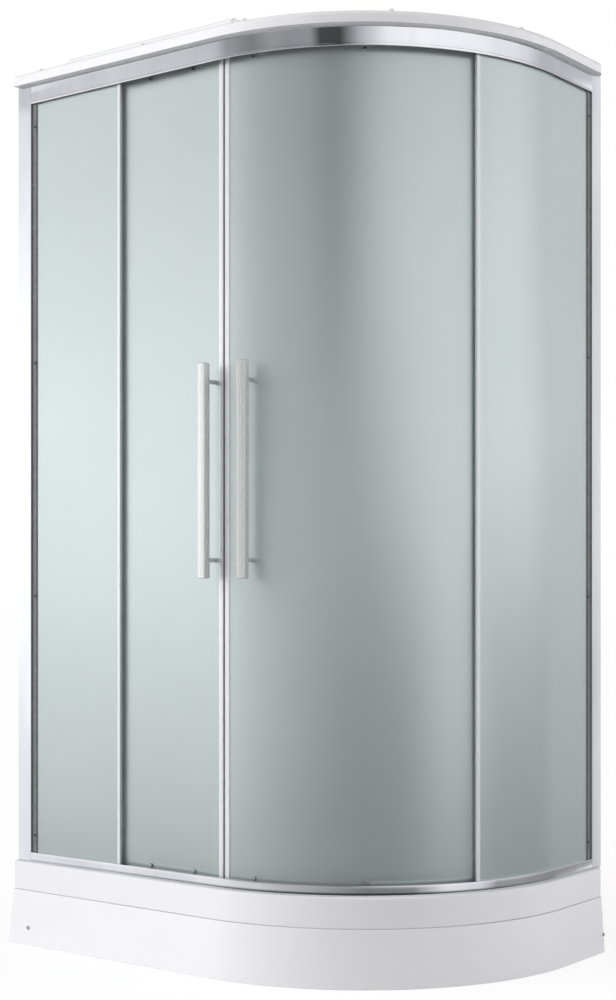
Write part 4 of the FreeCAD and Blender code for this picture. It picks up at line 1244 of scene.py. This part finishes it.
@dataclass
class Roof:
    """Formed acrylic roof with its raised middle, in metres."""

    shop: Workshop
    plan: Plan
    out: float = 0.015              # rim beyond the rail face
    rim: float = 2.093              # height of the flat part's top
    edge: float = 0.012             # rounding of its outer edge
    straight: float = 0.004         # straight foot under the rounding
    shell: float = 0.004            # thickness of the acrylic
    inside: float = 0.004           # inner face of the rim, in from the rail face
    inside_corner: float = 0.002
    wall_side: float = 0.009        # inner face on the two walls' sides
    foot: Bounds = (-0.492, 0.048, -0.352, 0.330)      # raised part
    top: Bounds = (-0.462, 0.045, -0.330, 0.300)
    raised_corner: float = 0.006
    sink: float = 0.001             # how far the raised part reaches into the flat one
    screw_edge: float = 0.0015

    def rectangle(self, t: float, z: float) -> list[Vector]:
        """Rounded rectangle between the foot and the top of the raised part.

        Args:
            t: 0 at the foot and 1 at the top.
            z: height.

        Returns:
            Points in order, always the same number.
        """
        x0, x1, y0, y1 = (a + (b - a) * t for a, b in zip(self.foot, self.top))
        corner = self.raised_corner
        outline = [(x0, y0, corner), (x1, y0, corner), (x1, y1, corner), (x0, y1, corner)]
        return [Vector((x, y, z)) for x, y in rounded(outline, steps=6)]

    def flat_part(self, work: bmesh.types.BMesh, foot: float) -> None:
        """Adds the rim and the flat skin as one closed shell.

        Args:
            work: mesh to add to.
            foot: height of the rim's foot.
        """
        rings = [self.plan.loop(self.out, 0, SHARP, z) for z in (foot, foot + self.straight)]
        rings += [self.plan.loop(self.out - across, 0, SHARP, self.rim - down)
                  for across, down in quarter(self.edge)]
        inner = [self.plan.loop(-self.inside, self.wall_side, self.inside_corner, z)
                 for z in (self.rim - self.shell, foot)]
        outer_foot = bridge(work, rings, cap=(False, True))[0]
        inner_foot = bridge(work, inner, cap=(True, False))[1]
        count = len(outer_foot)
        for i in range(count):
            j = (i + 1) % count
            work.faces.new((outer_foot[i], outer_foot[j], inner_foot[j], inner_foot[i]))

    def raised_part(self, work: bmesh.types.BMesh, top: float) -> None:
        """Adds the raised middle, with eased flanks.

        Args:
            work: mesh to add to.
            top: height of its top.
        """
        steps, start = 10, self.rim - self.sink
        rings = []
        for k in range(steps + 1):
            t = k / steps
            ease = t * t * (3 - 2 * t)
            rings.append(self.rectangle(t, start + (top - start) * ease))
        bridge(work, rings)

    def build(self) -> None:
        """Builds the roof and softens its screws."""
        low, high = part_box("roof_panel")
        work = bmesh.new()
        self.flat_part(work, low.z)
        self.raised_part(work, high.z)
        piece = finish_mesh("roof_shell", work, angle=40)
        add_weighted_normals(piece)
        self.shop.fit(piece, CABIN, Slot.ROOF_ACRYLIC, "roof_panel")
        self.shop.soften("roof_screws", CABIN, Slot.WHITE_PLASTIC, self.screw_edge)


class SkyGraph:
    """Short way to write the nodes of the surroundings, as they lie round the origin.

    Attributes:
        turn: direction round the cabin, 0 to 1, with 0.5 facing -Y and more towards +X.
        height: rise of the direction, -1 straight down and 1 straight up.
        rise: the same from 0 to 1.
    """

    def __init__(self, name: str) -> None:
        """Starts a world and works out where each direction lies.

        Args:
            name: its name.
        """
        self.world = bpy.data.worlds.new(name)
        self.world.use_nodes = True
        self.tree = self.world.node_tree
        self.tree.nodes.remove(self.tree.nodes["Background"])
        parts = self.add("ShaderNodeSeparateXYZ")
        self.feed(self.add("ShaderNodeTexCoord").outputs["Generated"], parts.inputs[0])
        x, y, self.height = parts.outputs
        azimuth = self.maths("ARCTAN2", x, self.maths("MULTIPLY", y, -1.0))
        self.turn = self.maths("ADD", self.maths("DIVIDE", azimuth, 2 * math.pi), 0.5)
        self.rise = self.maths("ADD", self.maths("DIVIDE", self.height, 2.0), 0.5)

    def add(self, kind: str) -> bpy.types.Node:
        """New node of a type."""
        return self.tree.nodes.new(kind)

    def feed(self, value: Socket | float | Paint, socket: Socket) -> None:
        """Fills a socket.

        Args:
            value: another socket's result, or a value.
            socket: the socket.
        """
        if isinstance(value, Socket):
            self.tree.links.new(value, socket)
        else:
            socket.default_value = value

    def maths(self, operation: str, first: Socket, second: Socket | float) -> Socket:
        """Result of one sum.

        Args:
            operation: Blender's name for it.
            first: its first value.
            second: its second value.

        Returns:
            The result.
        """
        node = self.add("ShaderNodeMath")
        node.operation = operation
        self.feed(first, node.inputs[0])
        self.feed(second, node.inputs[1])
        return node.outputs[0]

    def bands(self, stops: tuple[Pair, ...], factor: Socket, span: float) -> Socket:
        """Brightness in bands.

        Args:
            stops: places, from minus to plus half the span, each with its brightness.
            factor: where a direction lies, 0 to 1.
            span: the whole range.

        Returns:
            The colour, a touch cool.
        """
        node = self.add("ShaderNodeValToRGB")
        elements = node.color_ramp.elements
        for k, (place, value) in enumerate(stops):
            element = elements[k] if k < 2 else elements.new(1.0)
            element.position = place / span + 0.5
            element.color = (value * 0.985, value * 0.99, value, 1)
        self.feed(factor, node.inputs["Fac"])
        return node.outputs["Color"]

    def around(self, stops: tuple[Pair, ...]) -> Socket:
        """Bands round the cabin, placed in degrees."""
        return self.bands(stops, self.turn, 360)

    def step(self, span: Pair) -> Socket:
        """Soft change from one height to another.

        Args:
            span: the two heights.

        Returns:
            A share that rises from 0 to 1 between them.
        """
        node = self.add("ShaderNodeMapRange")
        node.interpolation_type = "SMOOTHSTEP"
        for value, socket in zip((self.height, *span), node.inputs):
            self.feed(value, socket)
        return node.outputs[0]

    def mix(self, factor: Socket | float, first: Socket, second: Socket, kind: str = "MIX") -> Socket:
        """Two colours put together.

        Args:
            factor: share of the second.
            first: one colour.
            second: the other.
            kind: MIX, or MULTIPLY for their product.

        Returns:
            The resulting colour.
        """
        node = self.add("ShaderNodeMix")
        node.data_type = "RGBA"
        node.blend_type = kind
        self.feed(factor, node.inputs[0])
        colours = [socket for socket in node.inputs if socket.type == "RGBA"]
        self.feed(first, colours[0])
        self.feed(second, colours[1])
        return next(socket for socket in node.outputs if socket.type == "RGBA")

    def background(self, colour: Socket | Paint, strength: float = 1.0) -> Socket:
        """A glow.

        Args:
            colour: its colour, plain or worked out.
            strength: its strength.

        Returns:
            The glow.
        """
        node = self.add("ShaderNodeBackground")
        self.feed(colour, node.inputs["Color"])
        node.inputs["Strength"].default_value = strength
        return node.outputs[0]

    def over(self, below: Socket, share: Socket, above: Socket) -> Socket:
        """Lays one glow over another.

        Args:
            below: what shows elsewhere.
            share: which rays see the upper glow.
            above: the upper glow.

        Returns:
            Both together.
        """
        node = self.add("ShaderNodeMixShader")
        for value, socket in zip((share, below, above), node.inputs):
            self.feed(value, socket)
        return node.outputs[0]


@dataclass
class Surroundings:
    """White room: plain for light, banded for shines, white where it is seen.

    The bands are the walls, windows and dark gaps that the polished rails mirror. Angles run
    round the cabin in degrees, 0 facing -Y and 90 facing +X.
    """

    light: Paint = (0.98, 0.98, 1.0, 1)
    ambient: float = 0.24
    white: Paint = (1, 1, 1, 1)
    high: tuple[Pair, ...] = (
        (-70, 0.85), (-47.0, 0.80), (-46.8, 1.05), (-46.44, 1.05), (-46.36, 0.78), (-40, 0.62),
        (-33, 0.38), (-18, 0.24), (-8, 0.34), (12, 0.34), (17, 0.07), (27, 0.07), (36, 0.48), (50, 0.97),
        (70, 1.05), (128, 0.85), (139, 0.53), (149, 0.55), (151.9, 0.60), (152.2, 1.10), (153.2, 1.10),
        (154, 0.75))
    middle: tuple[Pair, ...] = (
        (-70, 1.38), (-43, 1.38), (-28, 0.60), (-10, 0.48), (8, 0.50), (26, 0.50), (42, 0.56), (66, 1.05),
        (100, 1.10), (130, 1.00), (150, 0.66), (151.9, 0.66), (152.2, 1.10), (153.2, 1.10), (154, 0.66))
    low: tuple[Pair, ...] = (
        (-70, 0.90), (-47.0, 0.88), (-46.8, 1.05), (-46.44, 1.05), (-46.36, 0.87), (-36, 0.84), (-28, 0.76),
        (-16, 0.70), (0, 0.52), (22, 0.33), (40, 0.22), (62, 0.26), (79, 0.84), (98, 0.76), (107, 0.36),
        (150, 0.30), (151.9, 0.45), (152.2, 1.10), (153.2, 1.10), (154, 0.55))
    low_to_middle: Pair = (-0.13, 0.05)     # heights at which one row of bands gives way to the next
    middle_to_high: Pair = (0.08, 0.27)
    layers: tuple[Pair, ...] = (            # brightness from straight below to straight above
        (-1.0, 0.95), (-0.50, 0.9), (-0.41, 0.14), (-0.26, 0.14), (-0.205, 1.0), (0.32, 1.0), (0.55, 0.5),
        (1.0, 0.8))
    dark_corner: tuple[Pair, ...] = ((-47.1, 1.0), (-46.9, 0.13), (-46.46, 0.13), (-46.38, 1.0))
    dark_from: Pair = (0.2555, 0.2625)      # height from which that corner is dark

    def shine(self, sky: SkyGraph) -> Socket:
        """What polished faces mirror.

        Args:
            sky: where its nodes are made.

        Returns:
            Its colour.
        """
        lower = sky.mix(sky.step(self.low_to_middle), sky.around(self.low), sky.around(self.middle))
        rows = sky.mix(sky.step(self.middle_to_high), lower, sky.around(self.high))
        layered = sky.mix(1.0, rows, sky.bands(self.layers, sky.rise, 2.0), "MULTIPLY")
        darkened = sky.mix(1.0, layered, sky.around(self.dark_corner), "MULTIPLY")
        return sky.mix(sky.step(self.dark_from), layered, darkened)

    def build(self) -> None:
        """Makes the world."""
        sky = SkyGraph("surroundings")
        rays = sky.add("ShaderNodeLightPath").outputs
        white = sky.background(self.white)
        glow = sky.background(self.light, self.ambient)
        glow = sky.over(glow, rays["Is Glossy Ray"], sky.background(self.shine(sky)))
        glow = sky.over(glow, rays["Is Transmission Ray"], white)
        glow = sky.over(glow, rays["Is Camera Ray"], white)
        sky.feed(glow, sky.tree.nodes["World Output"].inputs["Surface"])
        bpy.context.scene.world = sky.world


@dataclass(frozen=True)
class SoftSun:
    """Broad light from one direction: azimuth 0 comes from -Y, 90 from +X."""

    name: str
    azimuth: float
    elevation: float
    strength: float
    spread: float

    def build(self) -> None:
        """Makes the lamp."""
        lamp = bpy.data.lights.new(self.name, "SUN")
        lamp.energy = self.strength
        lamp.angle = math.radians(self.spread)
        holder = bpy.data.objects.new(self.name, lamp)
        a, e = math.radians(self.azimuth), math.radians(self.elevation)
        source = Vector((math.sin(a) * math.cos(e), -math.cos(a) * math.cos(e), math.sin(e)))
        holder.rotation_euler = source.to_track_quat("Z", "Y").to_euler()
        holder.visible_glossy = False
        bpy.context.scene.collection.objects.link(holder)


@dataclass
class Studio:
    """Floor, light and camera."""

    lens: float = 61.77                 # with the 36 mm sensor
    sensor: float = 36.0
    shift: float = 0.0769
    place: Triple = (2.4727, -3.2669, 0.8797)
    turn: float = 37.11
    floor_size: float = 30.0            # half its width, in metres
    floor_drop: float = 0.0006          # how far it lies under the feet
    floor_paint: Paint = (0.82, 0.82, 0.82, 1)
    floor_glow: float = 1.08            # whiteness that only the camera sees
    glow_share: float = 0.8             # the rest keeps the shadow
    suns: tuple[SoftSun, ...] = (
        SoftSun("left_light", azimuth=-42, elevation=22, strength=2.8, spread=50),
        SoftSun("right_light", azimuth=122, elevation=16, strength=1.7, spread=40))
    inner_power: float = 5.0            # all lamps inside together
    inner_place: Pair = (-0.12, -0.02)
    inner_heights: tuple[float, ...] = (0.55, 0.95, 1.35, 1.75)
    inner_softness: float = 0.18

    def floor(self) -> None:
        """Pale floor that keeps the object's shadow on a white ground."""
        work = bmesh.new()
        size = self.floor_size
        corners = ((-size, -size), (size, -size), (size, size), (-size, size))
        work.faces.new([work.verts.new((x, y, -self.floor_drop)) for x, y in corners])
        floor = finish_mesh("floor", work)
        graph = Graph("floor_paint")
        graph.set(Base_Color=self.floor_paint, Roughness=0.9)
        share = graph.add("ShaderNodeMath")
        share.operation = "MULTIPLY"
        share.inputs[1].default_value = self.glow_share
        graph.link(graph.add("ShaderNodeLightPath").outputs["Is Camera Ray"], share.inputs[0])
        glow = graph.add("ShaderNodeEmission", Color=(1, 1, 1, 1), Strength=self.floor_glow)
        mix = graph.add("ShaderNodeMixShader")
        for start, end in zip((share, graph.shader, glow), mix.inputs):
            graph.link(start.outputs[0], end)
        graph.link(mix.outputs[0], graph.tree.nodes["Material Output"].inputs["Surface"])
        floor.data.materials.append(graph.material)
        floor.visible_glossy = False
        floor.visible_transmission = False

    def inner_lamps(self) -> None:
        """Soft light inside the cabin, which the frosted panes let through."""
        for index, height in enumerate(self.inner_heights):
            lamp = bpy.data.lights.new(f"inner_light_{index}", "POINT")
            lamp.energy = self.inner_power / len(self.inner_heights)
            lamp.shadow_soft_size = self.inner_softness
            holder = bpy.data.objects.new(lamp.name, lamp)
            holder.location = (*self.inner_place, height)
            holder.visible_glossy = False
            holder.visible_transmission = False
            bpy.context.scene.collection.objects.link(holder)

    def camera(self) -> None:
        """Camera at the photograph's viewing angle."""
        lens = bpy.data.cameras.new("view")
        lens.lens = self.lens
        lens.sensor_width = self.sensor
        lens.shift_y = self.shift
        lens.clip_end = 100.0
        holder = bpy.data.objects.new("view", lens)
        holder.location = self.place
        holder.rotation_euler = (math.radians(90), 0, math.radians(self.turn))
        bpy.context.scene.collection.objects.link(holder)
        bpy.context.scene.camera = holder

    def build(self) -> None:
        """Sets the studio up."""
        self.floor()
        for sun in self.suns:
            sun.build()
        Surroundings().build()
        self.inner_lamps()
        self.camera()
        bpy.context.scene.view_settings.view_transform = "Standard"


def main() -> None:
    """Builds every sub-assembly in order."""
    logging.basicConfig(level=logging.INFO, format="%(message)s")
    shop = Workshop()
    shop.dress_nodes()
    plan = measured_plan()
    Studio().build()
    for assembly in (
        Tray(shop, plan),
        Rails(shop, plan),
        WallProfiles(shop),
        Panes(shop, plan),
        FlatDoor(shop, plan, "left_door"),
        BentDoor(shop, plan, "right_door"),
        Roof(shop, plan),
    ):
        assembly.build()
        log.info("%s done", type(assembly).__name__)


if __name__ == "__main__":
    main()
